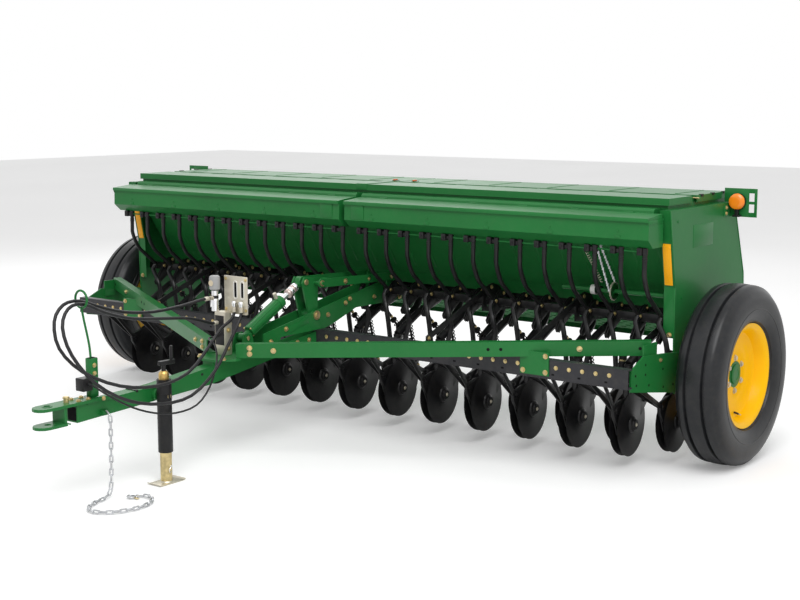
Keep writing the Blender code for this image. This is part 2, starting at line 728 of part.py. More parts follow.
# ---- Tongue --------------------------------------------------------------------------------------
def build_tongue():
    half = TONGUE_HALF_X
    rail_face = RAIL_Y[0] - GAP
    side = [
        (-2.580, 0.396),
        (-1.700, 0.432),
        (-1.200, 0.497),
        (rail_face, 0.520),
        (rail_face, 0.600),
        (-1.200, 0.558),
        (-1.650, 0.530),
        (-2.080, 0.491),
        (-2.580, 0.479),
    ]
    beam = side_plate(side, (-half, half))
    outline = [
        (-0.060, -1.680),
        (0.060, -1.680),
        (0.130, -1.590),
        (0.110, -1.190),
        (-0.110, -1.190),
        (-0.130, -1.590),
    ]
    saddle = flat_plate(outline, (SADDLE_Z - 0.012, SADDLE_Z))
    pedestal = cuboid((-half + 0.001, half - 0.001), (-1.670, -1.200), (0.525, SADDLE_Z - 0.006))
    ears = [
        side_plate([(-1.455, 0.56), (-1.340, 0.56), (-1.370, 0.665), (-1.430, 0.665)], x)
        for x in ((0.030, 0.038), (-0.038, -0.030))
    ]
    barrel_pin = rod((-0.042, *BARREL_PIN), (0.042, *BARREL_PIN), 0.011, 12)
    jack_end = (JACK_X - JACK_TUBE_R - GAP, JACK_Y, JACK_PIVOT_Z)
    jack_stub = rod((half - 0.004, JACK_Y, JACK_PIVOT_Z), jack_end, 0.028, 12)
    chain_eye = cuboid((half - 0.004, half + 0.020), (-2.440, -2.400), (0.408, 0.432))
    front_end = cuboid((-half + 0.007, half - 0.007), (-2.70, -2.45), (0.405, 0.471))
    shapes = [beam, pedestal, saddle, *ears, barrel_pin, jack_stub, chain_eye]
    sub_part("tongue_beam", shapes, "green_paint", cuts=[front_end])


def build_clevis():
    """The hitch clevis: two plates with the drawbar pin holes, and the bent web that joins them."""
    pin_y = TIP_Y + 0.075
    shapes = []
    for back_y, z in ((-2.440, (0.4828, 0.4975)), (-2.645, (0.3960, 0.4100))):
        outline = [(-0.049, back_y), (0.049, back_y), *arc((0, TIP_Y + 0.050), 0.050, 0, -180, 6)]
        shapes.append(flat_plate(outline, z))
    shapes.append(cuboid((-0.045, 0.045), (-2.660, -2.646), (0.400, 0.490)))
    shapes.append(rod((0, -2.612, 0.492), (0, -2.612, 0.520), 0.010, 8))
    hole = rod((0, pin_y, 0.38), (0, pin_y, 0.52), 0.0165, 16)
    sub_part("hitch_clevis", shapes, "green_paint", cuts=[hole])


def build_upper_beam():
    """Two plates from the tongue up to the main tube, with the crank's pin and the rockshaft's bore."""
    inner = BEAM_HALF_X - BEAM_T
    side = [
        (-1.300, SADDLE_Z + GAP),
        (-1.200, SADDLE_Z + GAP),
        (-1.160, RAIL_Z[1] + GAP),
        (RAIL_Y[1], RAIL_Z[1] + GAP),
        (-0.710, 0.633),
        (-0.503, 0.700),
        (MAIN_TUBE_Y[0] - GAP, 0.697),
        (MAIN_TUBE_Y[0] - GAP, 0.735),
        (-0.130, 0.735),
        (-0.150, 0.820),
        (-0.260, 0.830),
        (-0.503, 0.790),
        (-1.304, 0.650),
    ]
    plates = [side_plate(side, x) for x in ((inner, BEAM_HALF_X), (-BEAM_HALF_X, -inner))]
    tie = cuboid((-inner - 0.002, inner + 0.002), (-0.640, -0.480), (0.700, 0.708))
    foot = cuboid((-inner - 0.002, inner + 0.002), (-1.260, -1.210), (SADDLE_Z + 0.002, SADDLE_Z + 0.012))
    crank_pin = rod((-inner - 0.004, *CRANK_PIN), (inner + 0.004, *CRANK_PIN), 0.014, 12)
    bore = rod((-0.1, *ROCKSHAFT), (0.1, *ROCKSHAFT), ROCKSHAFT_BORE, 12)
    sub_part("upper_beam", [*plates, tie, foot, crank_pin], "green_paint", cuts=[bore])


def build_mast():
    """The post on the tongue with the plate that holds the parked hose ends."""
    post = cuboid((-0.057, 0.020), (-1.560, -1.500), (SADDLE_Z + GAP, 0.800))
    sheet = cuboid((-0.030, 0.140), (-1.506, -1.500), (0.790, 0.992))
    couplers = [rod((x, -1.519, 0.830), (x, -1.519, 0.862), 0.014, 8) for x in PARKED_X]
    slots = [cuboid((x - 0.012, x + 0.012), (-1.508, -1.49), (0.872, 0.965)) for x in PARKED_X]
    sub_part("mast", [post, sheet, *couplers], "zinc_plate", cuts=slots)


def build_valve():
    """The cylinder and grey cap beside the mast plate."""
    y = -1.545
    body = rod((-0.062, y, 0.8003), (-0.062, y, 0.990), 0.020, 12)
    cap = rod((-0.062, y, 0.915), (-0.062, y, 0.992), 0.030, 12)
    ports = rod((-0.062, y + 0.004, 0.872), (-0.062, y - 0.045, 0.872), 0.012, 8)
    sub_part("remote_valve", [body, cap, ports], "zinc_plate")


def build_hose_holder():
    """The post and rod on the tongue's front with the ring that lifts the hoses."""
    post = cuboid((-0.020, 0.020), (-2.475, -2.425), (0.4975 + GAP, 0.690))
    stem = bent_tube([(0, -2.452, 0.670), (0, -2.470, 0.800), (0, -2.500, 0.942)], 0.006)
    ring = bent_tube([(x, -2.500, z) for x, z in arc((0, 0.982), 0.042, 275, -75, 12)], 0.006)
    box = cuboid((-0.030, 0.030), (-2.530, -2.470), (0.535, 0.600))
    sub_part("hose_holder", [post, stem, ring, box], "green_paint")


def build_jack():
    """The screw jack: a tube that swings on the tongue's stub and a leg that slides in it."""
    pivot = (JACK_X, JACK_Y, JACK_PIVOT_Z)
    swing = axis_empty("jack_swing_axis", pivot)
    low, high = 0.160, 0.535
    tube = rod((JACK_X, JACK_Y, low), (JACK_X, JACK_Y, high), JACK_TUBE_R, 16)
    cap = rod((JACK_X, JACK_Y, high - 0.002), (JACK_X, JACK_Y, high + 0.045), 0.027, 12)
    neck = rod((JACK_X, JACK_Y, high + 0.040), (JACK_X, JACK_Y, high + 0.075), 0.012, 8)
    arm_y = (JACK_Y - 0.030, JACK_Y + 0.070)
    arm = cuboid((JACK_X - 0.014, JACK_X + 0.014), arm_y, (high + 0.070, high + 0.095))
    handle = rod((JACK_X, JACK_Y + 0.055, high + 0.090), (JACK_X, JACK_Y + 0.055, high + 0.165), 0.010, 8)
    bore = rod((JACK_X, JACK_Y, low - 0.1), (JACK_X, JACK_Y, high - 0.020), JACK_LEG_R + PIN_PLAY, 16)
    shapes = [tube, cap, neck, arm, handle]
    sub_part("jack_tube", shapes, "black_paint", cuts=[bore], pivot=pivot, axis=swing)

    slide = axis_empty("jack_slide_axis", (JACK_X, JACK_Y, 0.0), parent=swing)
    leg = rod((JACK_X, JACK_Y, 0.004), (JACK_X, JACK_Y, 0.360), JACK_LEG_R, 16)
    foot = cuboid((JACK_X - 0.048, JACK_X + 0.048), (JACK_Y - 0.090, JACK_Y + 0.090), (0.0, 0.010))
    sub_part("jack_leg", [leg, foot], "zinc_plate", pivot=(JACK_X, JACK_Y, 0.0), axis=slide)


# ---- Openers and their lift ----------------------------------------------------------------------
def opener_shapes(row):
    """One opener: V drawbar, boot, blades as one disc, hub, sprung pressure rod and tube cup."""
    x = row_x(row)
    hub_y, hub_z = FRONT_HUB if row % 2 else REAR_HUB
    apex = (hub_y - 0.172, hub_z + 0.104)
    spread = min(0.050, PANEL_X - x - 0.010)
    shapes = []
    for side in (spread, -0.050):
        tip = (x + math.copysign(0.004, side), *apex)
        shapes.append(bar((x + side, *DRAWBAR_PIN), tip, 0.008, 0.022))
    boot = [
        (apex[0] - 0.020, apex[1] + 0.016),
        (apex[0] + 0.010, apex[1] - 0.150),
        (hub_y + 0.020, hub_z - 0.030),
        (hub_y + 0.190, hub_z + 0.095),
        (hub_y + 0.180, hub_z + 0.125),
        (hub_y - 0.020, hub_z + 0.150),
    ]
    shapes.append(side_plate(boot, (x - 0.0095, x + 0.0095)))
    shapes.append(rod((x - 0.021, hub_y, hub_z), (x + 0.021, hub_y, hub_z), DISC_RADIUS, 16))
    shapes.append(rod((x - 0.048, hub_y, hub_z), (x + 0.048, hub_y, hub_z), 0.026, 6))
    shapes.append(bar((x, hub_y - 0.045, hub_z + 0.125), (x, hub_y - 0.015, hub_z + 0.330), 0.046, 0.046))
    top = (ROCKSHAFT[0] - 0.113, ROCKSHAFT[1] - 0.105)
    shapes.append(bar((x, hub_y + 0.172, hub_z + 0.108), (x, *top), 0.026, 0.026))
    return shapes


def build_openers():
    pivot = (0, *DRAWBAR_PIN)
    axis = axis_empty("opener_axis", pivot)
    for side, rows in (("left", range(ROWS // 2)), ("right", range(ROWS // 2, ROWS))):
        ends = (min(row_x(rows[0]) + 0.056, PANEL_X - 0.003), row_x(rows[-1]) - 0.056)
        shapes = [rod((ends[0], *DRAWBAR_PIN), (ends[1], *DRAWBAR_PIN), PIVOT_ROD_R, 8)]
        for row in rows:
            shapes += opener_shapes(row)
        sub_part(f"openers_{side}", shapes, "black_paint", pivot=pivot, axis=axis)


def build_rockshaft():
    """The square shaft with a forked arm beside each pressure rod and the lift lever at the middle."""
    y, z = ROCKSHAFT
    axis = axis_empty("rockshaft_axis", (0, y, z))
    half = PANEL_X - PANEL_T - GAP
    side = ROCKSHAFT_SIDE / 2
    shapes = [cuboid((-half, half), (y - side, y + side), (z - side, z + side))]
    for row in range(ROWS):
        x = row_x(row)
        arm = [
            (y + 0.045, z + 0.062),
            (y - 0.022, z + 0.040),
            (y - 0.122, z - 0.095),
            (y - 0.100, z - 0.122),
            (y + 0.030, z - 0.040),
            (y + 0.062, z + 0.040),
        ]
        shapes.append(side_plate(arm, (x - 0.048, x - 0.030)))
    for sign in (1, -1):
        x = sorted((sign * (BEAM_HALF_X + 0.010), sign * (BEAM_HALF_X + 0.022)))
        lever_y, lever_z = LEVER_PIN
        lever = [(y - 0.035, z - 0.01), (y + 0.035, z - 0.01), *arc((lever_y, lever_z), 0.022, 0, 180, 4)]
        shapes.append(side_plate(lever, x))
        pin_x = sign * (BEAM_HALF_X + 0.012)
        shapes.append(rod((pin_x, *LEVER_PIN), (pin_x + sign * 0.032, *LEVER_PIN), 0.010, 8))
    sub_part("rockshaft", shapes, "black_paint", pivot=(0, y, z), axis=axis)


def build_lift():
    """The lift cylinder, the bellcrank and the flat links that turn the rockshaft."""
    barrel_axis = axis_empty("lift_barrel_axis", (0, *BARREL_PIN))
    base, eye = Vector((0, *BARREL_PIN)), Vector((0, *ROD_PIN))
    along = (eye - base).normalized()
    length = (eye - base).length
    body = rod(base + along * 0.050, base + along * (length - 0.185), 0.036, 16)
    tail = rod(base, base + along * 0.060, 0.018, 12)
    tail_eye = rod((-0.024, *BARREL_PIN), (0.024, *BARREL_PIN), 0.024, 16)
    port_foot = base + along * (length - 0.215)
    port = rod(port_foot, port_foot + Vector((0, -0.03, 0.060)), 0.011, 8)
    cuts = [
        rod((-0.05, *BARREL_PIN), (0.05, *BARREL_PIN), 0.011 + PIN_PLAY, 12),
        rod(base + along * 0.200, base + along * length, 0.015 + PIN_PLAY, 12),
    ]
    shapes = [body, tail, tail_eye, port]
    sub_part("lift_barrel", shapes, "green_paint", cuts=cuts, pivot=tuple(base), axis=barrel_axis)

    rod_axis = axis_empty("lift_rod_axis", tuple(eye), parent=barrel_axis)
    stem = rod(base + along * 0.260, eye - along * 0.020, 0.015, 12)
    stops = rod(base + along * (length - 0.125), base + along * (length - 0.050), 0.026, 12)
    rod_eye = rod((-0.020, *ROD_PIN), (0.020, *ROD_PIN), 0.032, 16)
    bore = rod((-0.05, *ROD_PIN), (0.05, *ROD_PIN), 0.018, 12)
    sub_part("lift_rod", [stem, stops, rod_eye], "chrome", cuts=[bore], pivot=tuple(eye), axis=rod_axis)

    crank_axis = axis_empty("bellcrank_axis", (0, *CRANK_PIN))
    cheek = [
        (CRANK_PIN[0] - 0.034, CRANK_PIN[1] - 0.020),
        (CRANK_PIN[0] + 0.034, CRANK_PIN[1] - 0.020),
        (LINK_PIN[0] + 0.030, LINK_PIN[1]),
        (LINK_PIN[0] + 0.010, LINK_PIN[1] + 0.028),
        (ROD_PIN[0] - 0.010, ROD_PIN[1] + 0.028),
        (ROD_PIN[0] - 0.030, ROD_PIN[1] - 0.005),
    ]
    cheeks = [side_plate(cheek, x) for x in ((0.030, 0.042), (-0.042, -0.030))]
    hub = rod((-0.050, *CRANK_PIN), (0.050, *CRANK_PIN), 0.030, 16)
    rod_pin = rod((-0.044, *ROD_PIN), (0.044, *ROD_PIN), 0.012, 12)
    link_pin = rod((-0.110, *LINK_PIN), (0.110, *LINK_PIN), 0.010, 10)
    bore = rod((-0.06, *CRANK_PIN), (0.06, *CRANK_PIN), 0.014 + PIN_PLAY, 12)
    shapes = [*cheeks, hub, rod_pin, link_pin]
    sub_part("bellcrank", shapes, "green_paint", cuts=[bore], pivot=(0, *CRANK_PIN), axis=crank_axis)

    link_axis = axis_empty("link_axis", (0, *LINK_PIN), parent=crank_axis)
    inner = BEAM_HALF_X + 0.0245
    links, bores = [], []
    for sign in (1, -1):
        x = sorted((sign * inner, sign * (inner + 0.010)))
        (y0, z0), (y1, z1) = LINK_PIN, LEVER_PIN
        outline = [*arc((y0, z0), 0.024, 90, 270, 5), *arc((y1, z1), 0.024, -90, 90, 5)]
        links.append(side_plate(outline, x))
    spacer = rod((-inner - 0.004, -0.640, 0.876), (inner + 0.004, -0.640, 0.876), 0.008, 8)
    bores.append(rod((-0.13, *LINK_PIN), (0.13, *LINK_PIN), 0.010 + PIN_PLAY, 12))
    bores.append(rod((-0.13, *LEVER_PIN), (0.13, *LEVER_PIN), 0.016, 12))
    pivot = (0, *LINK_PIN)
    sub_part("lift_links", [*links, spacer], "green_paint", cuts=bores, pivot=pivot, axis=link_axis)


# ---- Lamps, drive and hoses ----------------------------------------------------------------------
def build_lamps():
    """A warning lamp on its windowed bracket at each rear top corner of the box."""

    def shapes():
        y = (0.330, 0.334)
        x = PANEL_X + GAP
        frame = cuboid((x, x + 0.154), y, (1.285, 1.440))
        inner = cuboid((1.996, x + 0.004), (y[0] + 0.0002, y[1] - 0.0002), (BOX_TOP_Z + GAP, 1.4395))
        tab = cuboid((x, x + 0.004), (y[0] - 0.080, y[1] - 0.001), (1.290, 1.350))
        window_x, window_y = (x + 0.108, x + 0.138), (y[0] - 0.01, y[1] + 0.02)
        windows = [cuboid(window_x, window_y, z) for z in ((1.310, 1.355), (1.370, 1.415))]
        combine(frame, windows, "DIFFERENCE")
        lamp = rod((x + 0.048, y[0] - 0.045, 1.369), (x + 0.048, y[1] + 0.035, 1.369), 0.046, 16)
        stem = cuboid((x + 0.036, x + 0.060), (y[0] - 0.030, y[0] - 0.006), (1.290, 1.330))
        foot = cuboid((x + 0.028, x + 0.068), (y[0] - 0.034, y[0] + 0.001), (1.286, 1.296))
        return [frame, inner, tab, stem, foot, lamp], []

    both_sides("lamp", shapes, "amber_lens")


def build_drive():
    """The ground drive at the left end: a cross shaft with its chain sprocket under the front box."""
    y, z = -0.255, 0.905
    x0, x1 = 1.330, PANEL_X - PANEL_T - GAP
    shaft = rod((x0, y, z), (x1, y, z), 0.012, 8)
    sprocket = rod((1.640, y, z), (1.650, y, z), 0.045, 16)
    collar = rod((1.500, y, z), (1.540, y, z), 0.024, 10)
    sub_part("drive_shaft", [shaft, sprocket, collar], "green_paint")


# Each route goes from its port, through the hose ring, back to where its end is parked.
HOSE_1_ROUTE = [
    (-0.062, -1.5910, 0.872),
    (-0.062, -1.640, 0.872),
    (-0.062, -1.800, 0.856),
    (-0.054, -2.000, 0.852),
    (-0.040, -2.200, 0.878),
    (-0.024, -2.360, 0.924),
    (-0.013, -2.500, 0.972),
    (-0.010, -2.600, 0.965),
    (0.002, -2.665, 0.895),
    (0.035, -2.668, 0.770),
    (0.085, -2.575, 0.650),
    (0.145, -2.400, 0.560),
    (0.165, -2.180, 0.526),
    (0.162, -1.970, 0.556),
    (0.120, -1.780, 0.655),
    (0.070, -1.640, 0.725),
    (0.055, -1.545, 0.762),
    (0.055, -1.519, 0.800),
    (0.055, -1.519, 0.8297),
]
HOSE_2_ROUTE = [
    (-0.030, -1.5604, 0.742),
    (-0.030, -1.600, 0.742),
    (-0.026, -1.760, 0.790),
    (-0.020, -1.960, 0.816),
    (-0.010, -2.180, 0.846),
    (0.004, -2.360, 0.900),
    (0.013, -2.500, 0.960),
    (0.026, -2.600, 0.950),
    (0.048, -2.655, 0.870),
    (0.090, -2.640, 0.740),
    (0.140, -2.545, 0.595),
    (0.185, -2.390, 0.492),
    (0.205, -2.190, 0.442),
    (0.205, -1.990, 0.448),
    (0.190, -1.810, 0.540),
    (0.150, -1.670, 0.650),
    (0.110, -1.560, 0.730),
    (0.105, -1.519, 0.795),
    (0.105, -1.519, 0.8297),
]
CABLE_ROUTE = [
    (0.0303, -2.500, 0.570),
    (0.060, -2.500, 0.570),
    (0.115, -2.460, 0.525),
    (0.160, -2.350, 0.450),
    (0.178, -2.220, 0.398),
    (0.182, -2.080, 0.372),
    (0.178, -1.930, 0.385),
    (0.176, -1.830, 0.465),
    (0.158, -1.760, 0.585),
    (0.075, -1.690, 0.650),
    (-0.020, -1.640, 0.665),
    (-0.035, -1.600, 0.665),
    (-0.035, -1.5603, 0.665),
]
CHAIN_ROUTE = [
    (0.0583, -2.420, 0.420),
    (0.074, -2.420, 0.420),
    (0.088, -2.422, 0.400),
    (0.092, -2.424, 0.330),
    (0.092, -2.426, 0.220),
    (0.092, -2.430, 0.110),
    (0.094, -2.440, 0.040),
    (0.100, -2.480, 0.0150),
    (0.120, -2.560, 0.0135),
    (0.170, -2.640, 0.0135),
    (0.240, -2.655, 0.0135),
    (0.310, -2.600, 0.0135),
    (0.345, -2.510, 0.0135),
    (0.340, -2.420, 0.0135),
    (0.290, -2.350, 0.0135),
    (0.220, -2.335, 0.0135),
    (0.170, -2.390, 0.0135),
]
# name, route, radius, points to a span, material
CORDS = (
    ("hose_1", HOSE_1_ROUTE, 0.0085, 3, "hose_rubber"),
    ("hose_2", HOSE_2_ROUTE, 0.0085, 3, "hose_rubber"),
    ("light_cable", CABLE_ROUTE, 0.0050, 3, "hose_rubber"),
    ("safety_chain", CHAIN_ROUTE, 0.0120, 2, "chain_steel"),
)


def build_cords():
    for name, route, radius, steps, material in CORDS:
        tube = tube_curve(name, smooth_path(route, steps), radius, 2)
        PARTS.objects.link(tube)
        tube.parent = DRILL
        tube.data.materials.append(MATERIALS[material])


# ---- Assembly ------------------------------------------------------------------------------------
clear_scene()
PARTS = new_collection("Seed drill")
CUTTERS = new_collection("Cutters", hidden=True)
MATERIALS = make_materials()
DRILL = bpy.data.objects.new("seed_drill", None)
PARTS.objects.link(DRILL)
DRILL.location = (0, SHIFT_Y, 0)

build_wheels()
build_spindles()
build_end_panels()
build_hopper()
build_grain_lids()
build_front_boxes()
build_seed_tubes()
build_feed_shaft()
build_rail()
build_end_plates()
build_main_tube()
build_braces()
build_arms()
build_walkboard()
build_tongue()
build_clevis()
build_upper_beam()
build_mast()
build_valve()
build_hose_holder()
build_jack()
build_openers()
build_rockshaft()
build_lift()
build_lamps()
build_drive()
build_cords()
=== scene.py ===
"""Looks of a towed end-wheel seed drill: pale floor, soft light and every visible piece.

Lengths are in metres. Pieces are modelled in the axle frame: X across the machine with +X at its
left, Y = 0 at the wheels' axle with the tongue towards -Y, and Z up from the ground.
"""

from __future__ import annotations

import logging
import math
from collections.abc import Iterable, Sequence
from dataclasses import dataclass, field
from enum import Enum

import bmesh
import bpy
from mathutils import Matrix, Vector
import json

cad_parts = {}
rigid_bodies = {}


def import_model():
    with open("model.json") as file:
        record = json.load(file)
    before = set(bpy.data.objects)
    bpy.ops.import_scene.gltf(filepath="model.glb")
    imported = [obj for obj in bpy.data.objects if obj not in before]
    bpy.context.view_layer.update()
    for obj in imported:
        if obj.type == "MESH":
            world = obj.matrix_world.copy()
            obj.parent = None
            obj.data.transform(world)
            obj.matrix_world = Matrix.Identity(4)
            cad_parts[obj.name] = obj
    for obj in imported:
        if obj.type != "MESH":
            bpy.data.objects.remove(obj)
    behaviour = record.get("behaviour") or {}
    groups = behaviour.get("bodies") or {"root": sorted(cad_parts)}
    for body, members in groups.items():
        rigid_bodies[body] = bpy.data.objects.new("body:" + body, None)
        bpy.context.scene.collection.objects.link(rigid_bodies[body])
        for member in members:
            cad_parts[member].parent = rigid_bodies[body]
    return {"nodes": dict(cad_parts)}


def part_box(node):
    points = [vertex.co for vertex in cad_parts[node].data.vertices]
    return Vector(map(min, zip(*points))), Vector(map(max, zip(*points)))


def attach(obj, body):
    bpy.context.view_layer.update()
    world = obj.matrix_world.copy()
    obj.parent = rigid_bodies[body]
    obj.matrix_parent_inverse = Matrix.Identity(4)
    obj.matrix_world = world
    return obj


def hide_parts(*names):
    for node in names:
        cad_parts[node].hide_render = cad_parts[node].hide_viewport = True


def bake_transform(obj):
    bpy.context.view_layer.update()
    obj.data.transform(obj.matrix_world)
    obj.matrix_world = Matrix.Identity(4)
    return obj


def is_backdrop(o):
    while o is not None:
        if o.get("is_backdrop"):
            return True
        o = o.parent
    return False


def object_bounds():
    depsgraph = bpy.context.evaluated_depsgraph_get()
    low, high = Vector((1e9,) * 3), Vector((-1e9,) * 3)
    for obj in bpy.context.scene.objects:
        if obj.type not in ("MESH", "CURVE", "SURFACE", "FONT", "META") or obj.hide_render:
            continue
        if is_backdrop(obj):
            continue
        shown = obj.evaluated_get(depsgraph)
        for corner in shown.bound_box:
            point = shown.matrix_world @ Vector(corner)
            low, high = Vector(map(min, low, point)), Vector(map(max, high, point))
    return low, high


LOG = logging.getLogger("seed_drill")

Triple = Sequence[float]
Pair = tuple[float, float]

ROWS = 26
ROW_PITCH = 0.1524
FIRST_ROW_X = 1.9812
RAIL_BACK_PIN = (-0.806, 0.565)
ROCKSHAFT = (-0.205, 0.775)


class Side(Enum):
    """The machine's two ends, as the sign of X."""

    LEFT = 1
    RIGHT = -1

    @property
    def word(self) -> str:
        """The side's name as piece and node names spell it."""
        return self.name.lower()


class Axis(Enum):
    """Main directions that a turned piece may point along."""

    X = (1.0, 0.0, 0.0)
    Y = (0.0, 1.0, 0.0)
    Z = (0.0, 0.0, 1.0)


# ---- Finishes ------------------------------------------------------------------------------


class SharedGroups:
    """Node groups that several finishes use, each built once."""

    _made: dict[str, bpy.types.NodeTree] = {}

    @classmethod
    def weathering(cls) -> bpy.types.NodeTree:
        """Tone drift and settled dust over a paint or a rubber.

        Returns:
            A group with Vector, Colour, Dust, Tone, Scale and Amount inputs, and Colour and Mask
            outputs.
        """
        if "weathering" in cls._made:
            return cls._made["weathering"]
        tree, start, end = cls._new(
            "weathering",
            (
                ("Vector", "NodeSocketVector", None),
                ("Colour", "NodeSocketColor", (0.5, 0.5, 0.5, 1.0)),
                ("Dust", "NodeSocketColor", (0.36, 0.32, 0.25, 1.0)),
                ("Tone", "NodeSocketFloat", 0.12),
                ("Scale", "NodeSocketFloat", 3.0),
                ("Amount", "NodeSocketFloat", 0.2),
            ),
            (("Colour", "NodeSocketColor"), ("Mask", "NodeSocketFloat")),
        )
        nodes, link = tree.nodes, tree.links.new
        broad = nodes.new("ShaderNodeTexNoise")
        broad.inputs["Detail"].default_value = 4.0
        link(start.outputs["Vector"], broad.inputs["Vector"])
        link(start.outputs["Scale"], broad.inputs["Scale"])
        swing = nodes.new("ShaderNodeMapRange")
        swing.inputs["From Min"].default_value = 0.3
        swing.inputs["From Max"].default_value = 0.7
        swing.inputs["To Min"].default_value = -1.0
        link(broad.outputs["Fac"], swing.inputs["Value"])
        part = cls._math(tree, "MULTIPLY", swing.outputs["Result"], start.outputs["Tone"])
        level = cls._math(tree, "ADD", part, 1.0)
        tinted = nodes.new("ShaderNodeVectorMath")
        tinted.operation = "SCALE"
        link(start.outputs["Colour"], tinted.inputs[0])
        link(level, tinted.inputs["Scale"])
        fine = nodes.new("ShaderNodeTexNoise")
        fine.inputs["Scale"].default_value = 26.0
        fine.inputs["Detail"].default_value = 6.0
        fine.inputs["Roughness"].default_value = 0.7
        link(start.outputs["Vector"], fine.inputs["Vector"])
        specks = nodes.new("ShaderNodeMapRange")
        specks.inputs["From Min"].default_value = 0.45
        specks.inputs["From Max"].default_value = 0.75
        link(fine.outputs["Fac"], specks.inputs["Value"])
        mask = cls._math(tree, "MULTIPLY", specks.outputs["Result"], start.outputs["Amount"])
        dusty = nodes.new("ShaderNodeMix")
        dusty.data_type = "RGBA"
        link(mask, dusty.inputs["Factor"])
        link(tinted.outputs["Vector"], dusty.inputs["A"])
        link(start.outputs["Dust"], dusty.inputs["B"])
        link(dusty.outputs["Result"], end.inputs["Colour"])
        link(mask, end.inputs["Mask"])
        return tree

    @classmethod
    def grain(cls) -> bpy.types.NodeTree:
        """Fine height and roughness variation, such as orange peel, brushing or moulding.

        Returns:
            A group with Vector, Scale, Rough and Spread inputs, and Height and Roughness outputs.
        """
        if "grain" in cls._made:
            return cls._made["grain"]
        tree, start, end = cls._new(
            "grain",
            (
                ("Vector", "NodeSocketVector", None),
                ("Scale", "NodeSocketFloat", 120.0),
                ("Rough", "NodeSocketFloat", 0.4),
                ("Spread", "NodeSocketFloat", 0.1),
            ),
            (("Height", "NodeSocketFloat"), ("Roughness", "NodeSocketFloat")),
        )
        nodes, link = tree.nodes, tree.links.new
        peel = nodes.new("ShaderNodeTexNoise")
        peel.inputs["Detail"].default_value = 3.0
        link(start.outputs["Vector"], peel.inputs["Vector"])
        link(start.outputs["Scale"], peel.inputs["Scale"])
        patch = nodes.new("ShaderNodeTexNoise")
        patch.inputs["Scale"].default_value = 6.0
        patch.inputs["Detail"].default_value = 5.0
        link(start.outputs["Vector"], patch.inputs["Vector"])
        offset = cls._math(tree, "SUBTRACT", patch.outputs["Fac"], 0.5)
        drift = cls._math(tree, "MULTIPLY", offset, start.outputs["Spread"])
        rough = cls._math(tree, "ADD", drift, start.outputs["Rough"])
        link(peel.outputs["Fac"], end.inputs["Height"])
        link(rough, end.inputs["Roughness"])
        return tree

    @staticmethod
    def _new(
        name: str,
        inputs: Iterable[tuple[str, str, object]],
        outputs: Iterable[tuple[str, str]],
    ) -> tuple[bpy.types.NodeTree, bpy.types.Node, bpy.types.Node]:
        """Start a group with its sockets.

        Args:
            name: Name of the group.
            inputs: Name, socket type and default of each input.
            outputs: Name and socket type of each output.

        Returns:
            The tree, its input node and its output node.
        """
        tree = bpy.data.node_groups.new(name, "ShaderNodeTree")
        for label, kind, value in inputs:
            socket = tree.interface.new_socket(label, in_out="INPUT", socket_type=kind)
            if value is not None:
                socket.default_value = value
        for label, kind in outputs:
            tree.interface.new_socket(label, in_out="OUTPUT", socket_type=kind)
        SharedGroups._made[name] = tree
        return tree, tree.nodes.new("NodeGroupInput"), tree.nodes.new("NodeGroupOutput")

    @staticmethod
    def _math(
        tree: bpy.types.NodeTree, operation: str, first: object, second: object
    ) -> bpy.types.NodeSocket:
        """Place one Math node.

        Args:
            tree: Tree that gets the node.
            operation: Blender's name of the operation.
            first: A socket or a number.
            second: A socket or a number.

        Returns:
            The node's result socket.
        """
        node = tree.nodes.new("ShaderNodeMath")
        node.operation = operation
        for socket, value in zip(node.inputs, (first, second)):
            if isinstance(value, bpy.types.NodeSocket):
                tree.links.new(value, socket)
            else:
                socket.default_value = value
        return node.outputs[0]


@dataclass(frozen=True)
class Finish:
    """One surface finish: base colour, gloss, tone drift, dust and fine grain."""

    name: str
    colour: tuple[float, float, float]
    roughness: float = 0.4
    metallic: float = 0.0
    coat: float = 0.0
    specular: float = 0.5
    tone: float = 0.10
    tone_scale: float = 3.0
    dust: float = 0.10
    grain_scale: float = 140.0
    grain_depth: float = 0.04
    spread: float = 0.12
    # Emission strength of the base colour: the lamp lens's faint light, and painted glow on the reflector.
    glow: float = 0.0

    def material(self) -> bpy.types.Material:
        """Build the material, or fetch it when it exists already."""
        found = bpy.data.materials.get(self.name)
        if found:
            return found
        material = bpy.data.materials.new(self.name)
        material.use_nodes = True
        tree = material.node_tree
        nodes, link = tree.nodes, tree.links.new
        shader = nodes["Principled BSDF"]
        place = nodes.new("ShaderNodeTexCoord").outputs["Object"]
        weather = nodes.new("ShaderNodeGroup")
        weather.node_tree = SharedGroups.weathering()
        weather.inputs["Colour"].default_value = (*self.colour, 1.0)
        weather.inputs["Tone"].default_value = self.tone
        weather.inputs["Scale"].default_value = self.tone_scale
        weather.inputs["Amount"].default_value = self.dust
        link(place, weather.inputs["Vector"])
        grain = nodes.new("ShaderNodeGroup")
        grain.node_tree = SharedGroups.grain()
        grain.inputs["Scale"].default_value = self.grain_scale
        grain.inputs["Rough"].default_value = self.roughness
        grain.inputs["Spread"].default_value = self.spread
        link(place, grain.inputs["Vector"])
        bump = nodes.new("ShaderNodeBump")
        bump.inputs["Strength"].default_value = self.grain_depth
        bump.inputs["Distance"].default_value = 0.002
        link(grain.outputs["Height"], bump.inputs["Height"])
        link(weather.outputs["Colour"], shader.inputs["Base Color"])
        link(grain.outputs["Roughness"], shader.inputs["Roughness"])
        link(bump.outputs["Normal"], shader.inputs["Normal"])
        shader.inputs["Metallic"].default_value = self.metallic
        shader.inputs["Coat Weight"].default_value = self.coat
        shader.inputs["Coat Roughness"].default_value = 0.08
        shader.inputs["Specular IOR Level"].default_value = self.specular
        if self.glow:
            link(weather.outputs["Colour"], shader.inputs["Emission Color"])
            shader.inputs["Emission Strength"].default_value = self.glow
        return material


